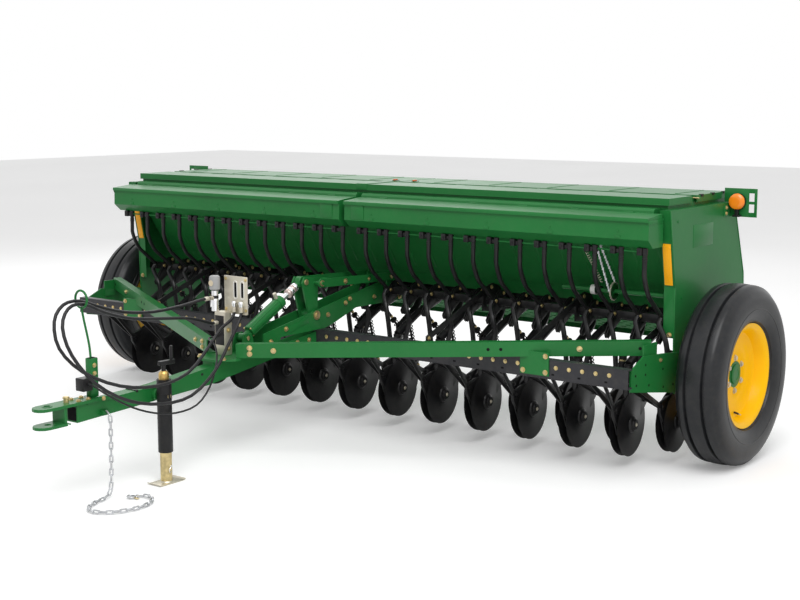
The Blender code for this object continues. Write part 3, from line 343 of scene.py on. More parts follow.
GREEN_PAINT = Finish(
    "green enamel", (0.012, 0.150, 0.032), 0.36, coat=0.10, specular=0.22, tone=0.06, dust=0.02,
    grain_depth=0.05,
)
# A darker, matte copy of the green enamel for the walkboard and its grips.
BOARD_PAINT = Finish(
    "worn green enamel", (0.010, 0.110, 0.026), 0.75, specular=0.06, tone=0.2, tone_scale=8.0,
    grain_depth=0.3,
)
BLACK_PAINT = Finish(
    "black enamel", (0.009, 0.009, 0.010), 0.36, coat=0.06, specular=0.25, tone=0.15, dust=0.03
)
RAIL_PAINT = Finish(
    "dark grey enamel", (0.024, 0.024, 0.028), 0.42, coat=0.05, specular=0.3, dust=0.05
)
YELLOW_PAINT = Finish(
    "rim enamel", (0.98, 0.53, 0.0), 0.34, coat=0.06, specular=0.12, tone=0.03, dust=0.01
)
TYRE_RUBBER = Finish(
    "tyre rubber", (0.014, 0.015, 0.017), 0.34, specular=0.32, tone=0.2, tone_scale=9.0,
    dust=0.03, grain_scale=260.0, grain_depth=0.12,
)
HOSE_RUBBER = Finish(
    "hose rubber", (0.012, 0.012, 0.014), 0.44, specular=0.35, tone=0.15, tone_scale=20.0,
    dust=0.04, grain_scale=700.0, grain_depth=0.2,
)
TUBE_PLASTIC = Finish(
    "tube plastic", (0.009, 0.009, 0.010), 0.32, specular=0.3, dust=0.03, grain_scale=300.0
)
BLADE_STEEL = Finish(
    "painted blade", (0.007, 0.007, 0.008), 0.30, specular=0.3, tone=0.25, dust=0.03,
    tone_scale=14.0,
)
GOLD_ZINC = Finish(
    "yellow zinc", (0.62, 0.50, 0.25), 0.36, metallic=0.85, tone=0.25, tone_scale=40.0, dust=0.05
)
PALE_ZINC = Finish(
    "pale zinc", (0.60, 0.56, 0.46), 0.40, metallic=0.6, tone=0.16, tone_scale=14.0, dust=0.08
)
CHROME = Finish("chrome", (0.76, 0.76, 0.78), 0.14, metallic=1.0, tone=0.05, dust=0.02)
STOP_RING = Finish("stop ring", (0.62, 0.50, 0.46), 0.28, metallic=0.7, tone=0.15, dust=0.05)
CHAIN_STEEL = Finish(
    "galvanised links", (0.58, 0.59, 0.61), 0.34, metallic=0.9, tone=0.2, tone_scale=60.0
)
BRASS = Finish("brass cap", (0.60, 0.40, 0.13), 0.30, metallic=0.9, tone=0.2, tone_scale=50.0)
AMBER = Finish("amber lens", (0.88, 0.24, 0.008), 0.18, coat=0.3, dust=0.02, glow=0.06)
# The reflector's faint glow is painted light: it stands in for light the reflector sends back.
REFLECTOR = Finish(
    "amber reflector", (0.90, 0.40, 0.008), 0.25, coat=0.1, specular=0.2, dust=0.01,
    grain_scale=420.0, grain_depth=0.5, glow=0.04,
)
ORANGE_GRIP = Finish("orange grip", (0.75, 0.13, 0.012), 0.42, dust=0.04)
GREY_PLASTIC = Finish("grey cap", (0.34, 0.34, 0.34), 0.45, dust=0.06)
BEIGE = Finish("beige disc", (0.66, 0.56, 0.40), 0.5, dust=0.06)
WHITE_RIM = Finish("white rim", (0.74, 0.74, 0.71), 0.45, dust=0.06)
# Painted shade: a near-black finish for discs and sheets put where holes, slots and openings would be in shade.
SHADOW = Finish("dark cavity", (0.006, 0.006, 0.007), 0.8, specular=0.1, dust=0.03)


# ---- Shapes --------------------------------------------------------------------------------


def row_x(row: int) -> float:
    """X of an opener row, counted from the machine's left."""
    return FIRST_ROW_X - row * ROW_PITCH


def arc(centre: Pair, radius: float, first: float, last: float, steps: int) -> list[Pair]:
    """Points on an arc, both ends included.

    Args:
        centre: Centre of the arc.
        radius: Radius of the arc.
        first: First angle in degrees.
        last: Last angle in degrees.
        steps: Number of spans.

    Returns:
        The points, first to last.
    """
    turns = [math.radians(first + (last - first) * i / steps) for i in range(steps + 1)]
    return [(centre[0] + radius * math.cos(a), centre[1] + radius * math.sin(a)) for a in turns]


def smooth_path(points: Sequence[Triple], steps: int) -> list[Vector]:
    """Points along a smooth curve whose first and last spans stay straight.

    Args:
        points: The route's own points.
        steps: Points to a span.

    Returns:
        The points of the curve, both ends included.
    """
    route = [Vector(p) for p in points]
    path = [route[0]]
    for before, start, end, after in zip(route, route[1:], route[2:], route[3:]):
        for i in range(steps):
            t = i / steps
            bend = (2 * before - 5 * start + 4 * end - after) * t**2
            ease = (3 * start - before - 3 * end + after) * t**3
            path.append(0.5 * (2 * start + (end - before) * t + bend + ease))
    return [*path, *route[-2:]]


def facing(start: Vector, end: Vector) -> Matrix:
    """Turn that takes +Z to the way from start to end."""
    return (end - start).to_track_quat("Z", "Y").to_matrix().to_4x4()


class Shape:
    """A mesh put together from bmesh operations, with a finish for each of them."""

    def __init__(self, *finishes: Finish) -> None:
        """Start an empty shape whose operations may use these finishes, by number."""
        self.finishes = finishes
        self.body = bmesh.new()

    def take(self, part: bmesh.types.BMesh, finish: int, bevel: float = 0.0) -> None:
        """Round a part's edges, give it its finish and add it to the shape.

        Args:
            part: The new part, which is freed.
            finish: Number of its finish.
            bevel: Width of the bevel on its sharp edges.
        """
        if bevel:
            sharp = [e for e in part.edges if e.is_manifold and e.calc_face_angle() > 0.6]
            bmesh.ops.bevel(
                part,
                geom=sharp,
                offset=bevel,
                offset_type="OFFSET",
                segments=2,
                profile=0.5,
                affect="EDGES",
                material=-1,
                clamp_overlap=True,
            )
        for face in part.faces:
            face.material_index = finish
        mesh = bpy.data.meshes.new("part")
        part.to_mesh(mesh)
        part.free()
        self.body.from_mesh(mesh)
        bpy.data.meshes.remove(mesh)

    def box(self, x: Pair, y: Pair, z: Pair, finish: int = 0, bevel: float = 0.0015) -> None:
        """Add a block between three pairs of coordinates."""
        part = bmesh.new()
        size = Vector((x[1] - x[0], y[1] - y[0], z[1] - z[0]))
        middle = Vector((sum(x), sum(y), sum(z))) / 2
        place = Matrix.Translation(middle) @ Matrix.Diagonal((*size, 1.0))
        bmesh.ops.create_cube(part, size=1.0, matrix=place)
        self.take(part, finish, bevel)

    def bar(
        self,
        start: Triple,
        end: Triple,
        wide: float,
        thick: float,
        finish: int = 0,
        wide_axis: Triple = (1.0, 0.0, 0.0),
        bevel: float = 0.0012,
    ) -> None:
        """Add a flat bar from start to end.

        Args:
            start: Middle of the first end.
            end: Middle of the last end.
            wide: Size along wide_axis, once it is square to the bar.
            thick: Size across the other way.
            finish: Number of its finish.
            wide_axis: Roughly the way that wide is measured.
            bevel: Width of its edge bevel.
        """
        a, b = Vector(start), Vector(end)
        along = (b - a).normalized()
        across = Vector(wide_axis)
        across = (across - along * across.dot(along)).normalized()
        turn = Matrix((across, along.cross(across), along)).transposed().to_4x4()
        part = bmesh.new()
        scale = Matrix.Diagonal((wide, thick, (b - a).length, 1.0))
        bmesh.ops.create_cube(part, size=1.0, matrix=Matrix.Translation((a + b) / 2) @ turn @ scale)
        self.take(part, finish, bevel)

    def rod(
        self,
        start: Triple,
        end: Triple,
        radius: float,
        finish: int = 0,
        sides: int = 16,
        end_radius: float | None = None,
        bevel: float = 0.0,
    ) -> None:
        """Add a round, conical or many-sided bar from start to end."""
        a, b = Vector(start), Vector(end)
        part = bmesh.new()
        bmesh.ops.create_cone(
            part,
            cap_ends=True,
            segments=sides,
            radius1=radius,
            radius2=radius if end_radius is None else end_radius,
            depth=(b - a).length,
            matrix=Matrix.Translation((a + b) / 2) @ facing(a, b),
        )
        self.take(part, finish, bevel)

    def plate(
        self, outline: Sequence[Pair], x: Pair, finish: int = 0, bevel: float = 0.0012
    ) -> None:
        """Add a plate with a (Y, Z) outline between two values of X."""
        part = bmesh.new()
        corners = [part.verts.new((x[0], y, z)) for y, z in outline]
        sheet = part.faces.new(corners)
        grown = bmesh.ops.extrude_face_region(part, geom=[sheet])["geom"]
        moved = [v for v in grown if isinstance(v, bmesh.types.BMVert)]
        bmesh.ops.translate(part, verts=moved, vec=(x[1] - x[0], 0.0, 0.0))
        bmesh.ops.recalc_face_normals(part, faces=part.faces)
        self.take(part, finish, bevel)

    def turned(
        self,
        profile: Sequence[Pair],
        origin: Triple,
        way: Triple,
        finish: int = 0,
        steps: int = 32,
    ) -> None:
        """Add a profile of (distance, radius) points turned about an axis.

        Args:
            profile: Distance along the axis and radius, from one end to the other.
            origin: Point of the axis at distance 0.
            way: Direction of the axis.
            finish: Number of its finish.
            steps: Segments of the turn.
        """
        part = bmesh.new()
        line = [part.verts.new((radius, 0.0, out)) for out, radius in profile]
        edges = [part.edges.new(ends) for ends in zip(line, line[1:])]
        if profile[0][1] > 0 and profile[-1][1] > 0:
            edges.append(part.edges.new((line[-1], line[0])))
        bmesh.ops.spin(
            part,
            geom=line + edges,
            cent=(0, 0, 0),
            axis=(0, 0, 1),
            angle=2 * math.pi,
            steps=steps,
            use_merge=True,
        )
        bmesh.ops.remove_doubles(part, verts=part.verts, dist=0.00002)
        bmesh.ops.recalc_face_normals(part, faces=part.faces)
        if part.calc_volume(signed=True) < 0:
            bmesh.ops.reverse_faces(part, faces=part.faces)
        place = Vector(origin)
        part.transform(Matrix.Translation(place) @ facing(place, place + Vector(way)))
        self.take(part, finish)

    def tube(
        self,
        path: Sequence[Triple],
        radius: float,
        finish: int = 0,
        resolution: int = 3,
        closed: bool = False,
    ) -> None:
        """Add a round tube or wire along a path."""
        curve = bpy.data.curves.new("path", "CURVE")
        curve.dimensions = "3D"
        curve.bevel_depth = radius
        curve.bevel_resolution = resolution
        curve.use_fill_caps = True
        spline = curve.splines.new("POLY")
        spline.points.add(len(path) - 1)
        for point, place in zip(spline.points, path):
            point.co = (*place, 1.0)
        spline.use_cyclic_u = closed
        holder = bpy.data.objects.new("path", curve)
        mesh = bpy.data.meshes.new_from_object(holder)
        part = bmesh.new()
        part.from_mesh(mesh)
        bmesh.ops.remove_doubles(part, verts=part.verts, dist=radius * 0.01)
        bpy.data.objects.remove(holder)
        bpy.data.curves.remove(curve)
        bpy.data.meshes.remove(mesh)
        self.take(part, finish)

    def bolt(
        self, place: Triple, way: Triple, size: float, finish: int = 0, height: float | None = None
    ) -> None:
        """Add a hexagon head on its washer.

        Args:
            place: Point on the surface that it is tightened against.
            way: Direction out of that surface.
            size: Radius of the head over its corners.
            finish: Number of its finish.
            height: Height of the head over the washer.
        """
        start, out = Vector(place), Vector(way).normalized()
        tall = size * 0.75 if height is None else height
        self.rod(start - out * 0.002, start + out * size * 0.2, size * 1.35, finish, sides=16)
        self.rod(
            start, start + out * (size * 0.2 + tall), size, finish, sides=6, bevel=size * 0.10
        )
        self.rod(start, start + out * (size * 0.35 + tall), size * 0.45, finish, sides=10)

    def stamp(self, other: Shape, place: Matrix) -> None:
        """Add a moved copy of another shape that has the same finishes."""
        mesh = bpy.data.meshes.new("stamp")
        other.body.to_mesh(mesh)
        mesh.transform(place)
        if place.determinant() < 0:
            mesh.flip_normals()
        self.body.from_mesh(mesh)
        bpy.data.meshes.remove(mesh)

    def finish(
        self,
        name: str,
        body: str | None,
        replaces: Sequence[str] = (),
        slot: str | None = None,
        smooth_angle: float = 34.0,
    ) -> bpy.types.Object:
        """Make the object, shifted from the axle frame to the machine's own frame.

        Args:
            name: Name of the piece.
            body: Body that it rides on, or None when it is left unattached.
            replaces: CAD nodes that it stands for.
            slot: Not used.
            smooth_angle: Edges turned by more than this stay sharp, in degrees.

        Returns:
            The new object.
        """
        mesh = bpy.data.meshes.new(name)
        self.body.transform(Matrix.Translation((0.0, MACHINE.axle_y, 0.0)))
        self.body.to_mesh(mesh)
        self.body.free()
        for finish in self.finishes:
            mesh.materials.append(finish.material())
        mesh.shade_smooth()
        mesh.set_sharp_from_angle(angle=math.radians(smooth_angle))
        obj = bpy.data.objects.new(name, mesh)
        bpy.context.scene.collection.objects.link(obj)
        if body:
            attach(obj, body)
        if replaces:
            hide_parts(*replaces)
        LOG.info("%s: %d faces", name, len(mesh.polygons))
        return obj


@dataclass
class Machine:
    """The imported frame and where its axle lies."""

    nodes: dict[str, bpy.types.Object] = field(default_factory=dict)
    cad_box: tuple[Triple, Triple] = ((0.0, 0.0, 0.0), (0.0, 0.0, 0.0))
    axle_y: float = 0.0

    def load(self) -> None:
        """Load the frame and read the places that the rest follows."""
        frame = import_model()
        self.nodes = frame["nodes"]
        self.cad_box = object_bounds()
        low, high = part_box("tyre_left")
        self.axle_y = (low[1] + high[1]) / 2

    def at(self, point: Triple) -> tuple[float, float, float]:
        """A point of the axle frame in the machine's own frame."""
        return (point[0], point[1] + self.axle_y, point[2])

    def dress(self, finish: Finish, *names: str) -> None:
        """Give CAD nodes a finish, with a weld modifier that merges vertices closer than 0.02 mm."""
        for name in names:
            obj = self.nodes[name]
            obj.data.materials.clear()
            obj.data.materials.append(finish.material())
            weld = obj.modifiers.new("weld", "WELD")
            weld.merge_threshold = 0.00002
            LOG.info("%s: dressed", name)


MACHINE = Machine()


# ---- Stage ---------------------------------------------------------------------------------


@dataclass
class Stage:
    """Camera, lamps, pale surroundings and floor."""

    lens: float = 61.59
    camera_place: Triple = (5.146, -5.671, 1.944)
    turn: tuple[float, float, float] = (37.45, 81.49, -0.10)
    floor_size: float = 60.0

    def build(self) -> None:
        """Make everything that is not part of the machine."""
        self._camera()
        self._world()
        self._lamps()
        self._floor()
        view = bpy.context.scene.view_settings
        view.view_transform = "Standard"

    def _camera(self) -> None:
        """Place the camera and make it the scene's own."""
        data = bpy.data.cameras.new("camera")
        data.lens = self.lens
        data.sensor_width = 36.0
        data.clip_end = 200.0
        camera = bpy.data.objects.new("camera", data)
        bpy.context.scene.collection.objects.link(camera)
        around, tilt, roll = (math.radians(a) for a in self.turn)
        place = Matrix.Translation(Vector(self.camera_place))
        spin = Matrix.Rotation(around, 4, "Z") @ Matrix.Rotation(tilt, 4, "X")
        camera.matrix_world = place @ spin @ Matrix.Rotation(roll, 4, "Z")
        bpy.context.scene.camera = camera

    def _world(self) -> None:
        """Even pale light, with a white background where it is seen straight on or mirrored."""
        world = bpy.data.worlds.new("pale sky")
        world.use_nodes = True
        bpy.context.scene.world = world
        nodes, link = world.node_tree.nodes, world.node_tree.links.new
        back = nodes["Background"]
        back.inputs["Color"].default_value = (1.0, 1.0, 1.0, 1.0)
        rays = nodes.new("ShaderNodeLightPath")
        seen = nodes.new("ShaderNodeMath")
        seen.operation = "MAXIMUM"
        link(rays.outputs["Is Camera Ray"], seen.inputs[0])
        link(rays.outputs["Is Glossy Ray"], seen.inputs[1])
        level = nodes.new("ShaderNodeMapRange")
        level.inputs["To Min"].default_value = 0.62
        level.inputs["To Max"].default_value = 1.0
        link(seen.outputs["Value"], level.inputs["Value"])
        link(level.outputs["Result"], back.inputs["Strength"])

    def _lamps(self) -> None:
        """A wide key lamp over the front right and a weaker one behind."""
        for name, place, size, power in (
            ("key lamp", (4.5, -4.0, 7.5), 6.0, 520.0),
            ("rear lamp", (-5.0, 5.0, 6.0), 6.0, 180.0),
        ):
            data = bpy.data.lights.new(name, "AREA")
            data.size = size
            data.energy = power
            lamp = bpy.data.objects.new(name, data)
            bpy.context.scene.collection.objects.link(lamp)
            start = Vector(place)
            lamp.matrix_world = Matrix.Translation(start) @ facing(Vector((0, 0, 0.6)), start)

    def _floor(self) -> None:
        """A plain pale floor."""
        half = self.floor_size / 2
        part = bmesh.new()
        bmesh.ops.create_grid(part, x_segments=1, y_segments=1, size=half)
        mesh = bpy.data.meshes.new("floor")
        part.to_mesh(mesh)
        part.free()
        paint = Finish(
            "pale floor", (0.90, 0.90, 0.90), 0.85, specular=0.1, tone=0.02, tone_scale=0.4, dust=0.03,
            grain_scale=60.0, grain_depth=0.02,
        )
        mesh.materials.append(paint.material())
        self._lift_floor(mesh.materials[0])
        floor = bpy.data.objects.new("floor", mesh)
        bpy.context.scene.collection.objects.link(floor)
        floor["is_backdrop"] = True

    @staticmethod
    def _lift_floor(material: bpy.types.Material) -> None:
        """Let the floor read white where the camera sees it, with its shadows kept."""
        tree = material.node_tree
        rays = tree.nodes.new("ShaderNodeLightPath")
        level = tree.nodes.new("ShaderNodeMath")
        level.operation = "MULTIPLY"
        level.inputs[1].default_value = 0.20
        tree.links.new(rays.outputs["Is Camera Ray"], level.inputs[0])
        shader = tree.nodes["Principled BSDF"]
        shader.inputs["Emission Color"].default_value = (1.0, 1.0, 1.0, 1.0)
        tree.links.new(level.outputs["Value"], shader.inputs["Emission Strength"])


# ---- Cords ---------------------------------------------------------------------------------


@dataclass(frozen=True)
class Cord:
    """One hose, cable or chain: its route, size and finish."""

    name: str
    route: tuple[Triple, ...]
    radius: float
    steps: int
    finish: Finish
    slot: str
    crimp_ends: tuple[int, ...] = ()

    def path(self) -> list[Vector]:
        """The points that it follows, in the machine's own frame."""
        return [Vector(MACHINE.at(p)) for p in smooth_path(self.route, self.steps)]

    @staticmethod
    def length_of(path: Sequence[Vector]) -> float:
        """Length along a path."""
        return sum((b - a).length for a, b in zip(path, path[1:]))

    def hose(self) -> bpy.types.Object:
        path = self.path()
        curve = bpy.data.curves.new(self.name, "CURVE")
        curve.dimensions = "3D"
        curve.bevel_depth = self.radius
        curve.bevel_resolution = 4
        curve.use_fill_caps = True
        spline = curve.splines.new("POLY")
        spline.points.add(len(path) - 1)
        for point, place in zip(spline.points, path):
            point.co = (*place, 1.0)
            point.tilt = 0.0
        spline.use_smooth = True
        curve.materials.append(self.finish.material())
        obj = bpy.data.objects.new(self.name + "_run", curve)
        bpy.context.scene.collection.objects.link(obj)
        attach(obj, "frame")
        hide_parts(self.name)
        self.length_of(path)
        [self._crimps()] if self.crimp_ends else ()
        return obj

    def _crimps(self) -> bpy.types.Object:
        """The ribbed metal sleeves at the hose's ends."""
        route = [Vector(p) for p in smooth_path(self.route, self.steps)]
        shape = Shape(PALE_ZINC)
        r = self.radius
        for end in self.crimp_ends:
            start, after = (route[0], route[1]) if end == 0 else (route[-1], route[-2])
            way = (after - start).normalized()
            profile = [(0.0005, r * 0.6), (0.0005, r * 1.15), (0.006, r * 1.2)]
            for k in range(3):
                out = 0.007 + k * 0.007
                profile += [(out, r * 1.38), (out + 0.005, r * 1.38), (out + 0.006, r * 1.22)]
            profile += [(0.029, r * 1.12), (0.030, r * 0.6)]
            shape.turned(profile, start, way, steps=20)
        return shape.finish(self.name + "_ends", "frame", slot="zinc_plate")

    def chain(self) -> bpy.types.Object:
        wire, inner, half = 0.0042, 0.0072, 0.0115
        ring = [(half + x, z) for x, z in arc((0, 0), inner, -90, 90, 6)]
        ring += [(-half + x, z) for x, z in arc((0, 0), inner, 90, 270, 6)]
        link = Shape(self.finish)
        link.tube([(x, 0, z) for x, z in ring], wire, resolution=2, closed=True)
        shape = Shape(self.finish)
        route = smooth_path(self.route, 14)
        pitch = 2 * half + 2 * inner - 2 * wire * 0.55
        ahead, travelled, count = pitch / 2, 0.0, 0
        for a, b in zip(route, route[1:]):
            span = (b - a).length
            while travelled + span >= ahead:
                place = a.lerp(b, (ahead - travelled) / span)
                along = (b - a).normalized()
                guide = Vector((0, 0, 1)) if abs(along.z) < 0.9 else Vector((1, 0, 0))
                side = along.cross(guide).normalized()
                turn = Matrix((along, side, along.cross(side))).transposed().to_4x4()
                roll = Matrix.Rotation(math.radians(50 + 90 * (count % 2)), 4, "X")
                shape.stamp(link, Matrix.Translation(place) @ turn @ roll)
                ahead += pitch
                count += 1
            travelled += span
        link.body.free()
        obj = shape.finish(self.name + "_links", "frame", (self.name,), self.slot)
        path = self.path()
        self.length_of(path)
        self._hook()
        return obj

    def _hook(self) -> bpy.types.Object:
        """The ring and tag at the chain's loose end."""
        end, before = Vector(self.route[-1]), Vector(self.route[-2])
        way = (end - before).normalized()
        middle = end - way * 0.012
        shape = Shape(self.finish, GOLD_ZINC)
        ring = [(middle.x + x, middle.y + y, 0.0125) for x, y in arc((0, 0), 0.019, 0, 345, 20)]
        shape.tube(ring, 0.0052, resolution=2, closed=True)
        tag = middle + Vector((0.030, 0.006, -0.002))
        shape.box((tag.x - 0.014, tag.x + 0.014), (tag.y - 0.009, tag.y + 0.009), (0.006, 0.009), 1)
        return shape.finish(self.name + "_ring", "frame", slot="chain_steel")


HOSE_1 = Cord(
    "hose_1",
    (
        (-0.062, -1.5910, 0.872),
        (-0.062, -1.640, 0.872),
        (-0.062, -1.800, 0.856),
        (-0.054, -2.000, 0.852),
        (-0.040, -2.200, 0.878),
        (-0.024, -2.360, 0.924),
        (-0.013, -2.500, 0.972),
        (-0.010, -2.600, 0.965),
        (0.002, -2.665, 0.895),
        (0.035, -2.668, 0.770),
        (0.085, -2.575, 0.650),
        (0.145, -2.400, 0.560),
        (0.165, -2.180, 0.526),
        (0.162, -1.970, 0.556),
        (0.120, -1.780, 0.655),
        (0.070, -1.640, 0.725),
        (0.055, -1.545, 0.762),
        (0.055, -1.519, 0.800),
        (0.055, -1.519, 0.8297),
    ),
    0.0085, 3, HOSE_RUBBER, "hose_rubber", (0, 1),
)
HOSE_2 = Cord(
    "hose_2",
    (
        (-0.030, -1.5604, 0.742),
        (-0.030, -1.600, 0.742),
        (-0.026, -1.760, 0.790),
        (-0.020, -1.960, 0.816),
        (-0.010, -2.180, 0.846),
        (0.004, -2.360, 0.900),
        (0.013, -2.500, 0.960),
        (0.026, -2.600, 0.950),
        (0.048, -2.655, 0.870),
        (0.090, -2.640, 0.740),
        (0.140, -2.545, 0.595),
        (0.185, -2.390, 0.492),
        (0.205, -2.190, 0.442),
        (0.205, -1.990, 0.448),
        (0.190, -1.810, 0.540),
        (0.150, -1.670, 0.650),
        (0.110, -1.560, 0.730),
        (0.105, -1.519, 0.795),
        (0.105, -1.519, 0.8297),
    ),
    0.0085, 3, HOSE_RUBBER, "hose_rubber", (0, 1),
)
LIGHT_CABLE = Cord(
    "light_cable",
    (
        (0.0303, -2.500, 0.570),
        (0.060, -2.500, 0.570),
        (0.115, -2.460, 0.525),
        (0.160, -2.350, 0.450),
        (0.178, -2.220, 0.398),
        (0.182, -2.080, 0.372),
        (0.178, -1.930, 0.385),
        (0.176, -1.830, 0.465),
        (0.158, -1.760, 0.585),
        (0.075, -1.690, 0.650),
        (-0.020, -1.640, 0.665),
        (-0.035, -1.600, 0.665),
        (-0.035, -1.5603, 0.665),
    ),
    0.0050, 3, HOSE_RUBBER, "hose_rubber",
)
SAFETY_CHAIN = Cord(
    "safety_chain",
    (
        (0.0583, -2.420, 0.420),
        (0.074, -2.420, 0.420),
        (0.088, -2.422, 0.400),
        (0.092, -2.424, 0.330),
        (0.092, -2.426, 0.220),
        (0.092, -2.430, 0.110),
        (0.094, -2.440, 0.040),
        (0.100, -2.480, 0.0150),
        (0.120, -2.560, 0.0135),
        (0.170, -2.640, 0.0135),
        (0.240, -2.655, 0.0135),
        (0.310, -2.600, 0.0135),
        (0.345, -2.510, 0.0135),
        (0.340, -2.420, 0.0135),
        (0.290, -2.350, 0.0135),
        (0.220, -2.335, 0.0135),
        (0.170, -2.390, 0.0135),
    ),
    0.0120, 2, CHAIN_STEEL, "chain_steel",
)


# ---- Wheels --------------------------------------------------------------------------------


@dataclass
class Wheel:
    """One end wheel: ribbed tyre, dished rim, hub cap and nuts."""

    side: Side
    x: float = 2.223
    radius: float = 0.482
    hub_face: float = 2.244
    rim_radius: float = 0.2795
    half_rim: float = 0.086
    nuts: int = 6
    nut_circle: float = 0.088

    def build(self) -> None:
        """Make the tyre and the rim, each riding on its wheel."""
        self._tyre()
        self._rim()

    def _tyre(self) -> None:
        """Turn the tyre's section: round sidewalls and three ribs with two grooves."""
        half = [
            (0.0733, 0.2675), (0.079, 0.2799), (0.092, 0.288), (0.098, 0.2895), (0.104, 0.299),
            (0.110, 0.308), (0.118, 0.330), (0.1235, 0.355), (0.125, 0.378), (0.124, 0.402),
            (0.1205, 0.424), (0.115, 0.441), (0.108, 0.452), (0.100, 0.459), (0.094, 0.4665),
            (0.088, 0.4735), (0.074, 0.4775), (0.058, 0.479), (0.055, 0.474), (0.052, 0.4625),
            (0.042, 0.4625), (0.039, 0.474), (0.036, 0.4800), (0.018, 0.4815),
        ]
        profile = [*half, (0.0, 0.4818), *[(-x, r) for x, r in reversed(half)]]
        shape = Shape(TYRE_RUBBER)
        sign = self.side.value
        shape.turned(profile, (sign * self.x, 0, self.radius), (sign, 0, 0), steps=96)
        for x in (0.1262, -0.1262):
            out = [(x - math.copysign(0.004, x), 0.352), (x * 0.9915, 0.355), (x * 0.9915, 0.359),
                   (x - math.copysign(0.004, x), 0.362)]
            shape.turned(out, (sign * self.x, 0, self.radius), (sign, 0, 0), steps=96)
        word = self.side.word
        shape.finish(f"ribbed_tyre_{word}", f"wheel_{word}", (f"tyre_{word}",), "tyre_rubber", 38)

    def _rim(self) -> None:
        """Turn the rim and add the green cap, the nuts, the valve and the bearing hub."""
        outer, inner = self.x + self.half_rim, self.x - self.half_rim
        face = self.hub_face
        bead = self.rim_radius - 0.0123
        profile = [
            (face - 0.010, 0.062), (face - 0.011, 0.100), (face - 0.016, 0.112),
            (face - 0.012, 0.150), (face - 0.010, 0.170), (face - 0.010, 0.208),
            (face + 0.002, 0.226), (outer - 0.020, 0.243), (outer - 0.009, 0.253),
            (outer - 0.001, 0.272), (outer, self.rim_radius), (outer - 0.006, self.rim_radius),
            (outer - 0.012, bead), (inner + 0.012, bead), (inner + 0.006, self.rim_radius),
            (inner, self.rim_radius), (inner + 0.001, 0.272), (inner + 0.009, 0.252),
            (face - 0.040, 0.236), (face - 0.022, 0.214), (face - 0.020, 0.170),
            (face - 0.026, 0.112), (face - 0.026, 0.062),
        ]
        sign = self.side.value
        word = self.side.word
        centre, way = (0.0, 0, self.radius), (sign, 0, 0)
        shape = Shape(YELLOW_PAINT, GREEN_PAINT, PALE_ZINC, HOSE_RUBBER)
        shape.turned(profile, centre, way, 0, 72)
        cap = [
            (inner - 0.005, 0.0375), (inner - 0.005, 0.052), (face - 0.050, 0.058),
            (face - 0.012, 0.0585), (face - 0.012, 0.0700), (face - 0.008, 0.0700),
            (face - 0.008, 0.054), (face - 0.0025, 0.0535), (face, 0.049), (face, 0.030),
            (face - 0.002, 0.028), (face - 0.002, 0.0), (face - 0.010, 0.0), (face - 0.010, 0.0375),
        ]
        shape.turned(cap, centre, way, 1, 40)
        for k in range(self.nuts):
            turn = math.radians(30 + 360 * k / self.nuts)
            y, z = math.cos(turn), math.sin(turn)
            nut = (sign * (face - 0.0105), y * self.nut_circle, self.radius + z * self.nut_circle)
            shape.bolt(nut, way, 0.0125, 2, 0.0085)
        valve = (sign * (face - 0.006), 0.0, self.radius - 0.205)
        shape.rod(valve, (sign * (face + 0.020), 0.0, self.radius - 0.212), 0.0055, 3, 12)
        shape.rod(
            (sign * (face + 0.020), 0.0, self.radius - 0.212),
            (sign * (face + 0.032), 0.0, self.radius - 0.2145), 0.0042, 2, 10,
        )
        shape.finish(f"dished_rim_{word}", f"wheel_{word}", (f"rim_{word}",), "rim_yellow")


# ---- Boxes ---------------------------------------------------------------------------------


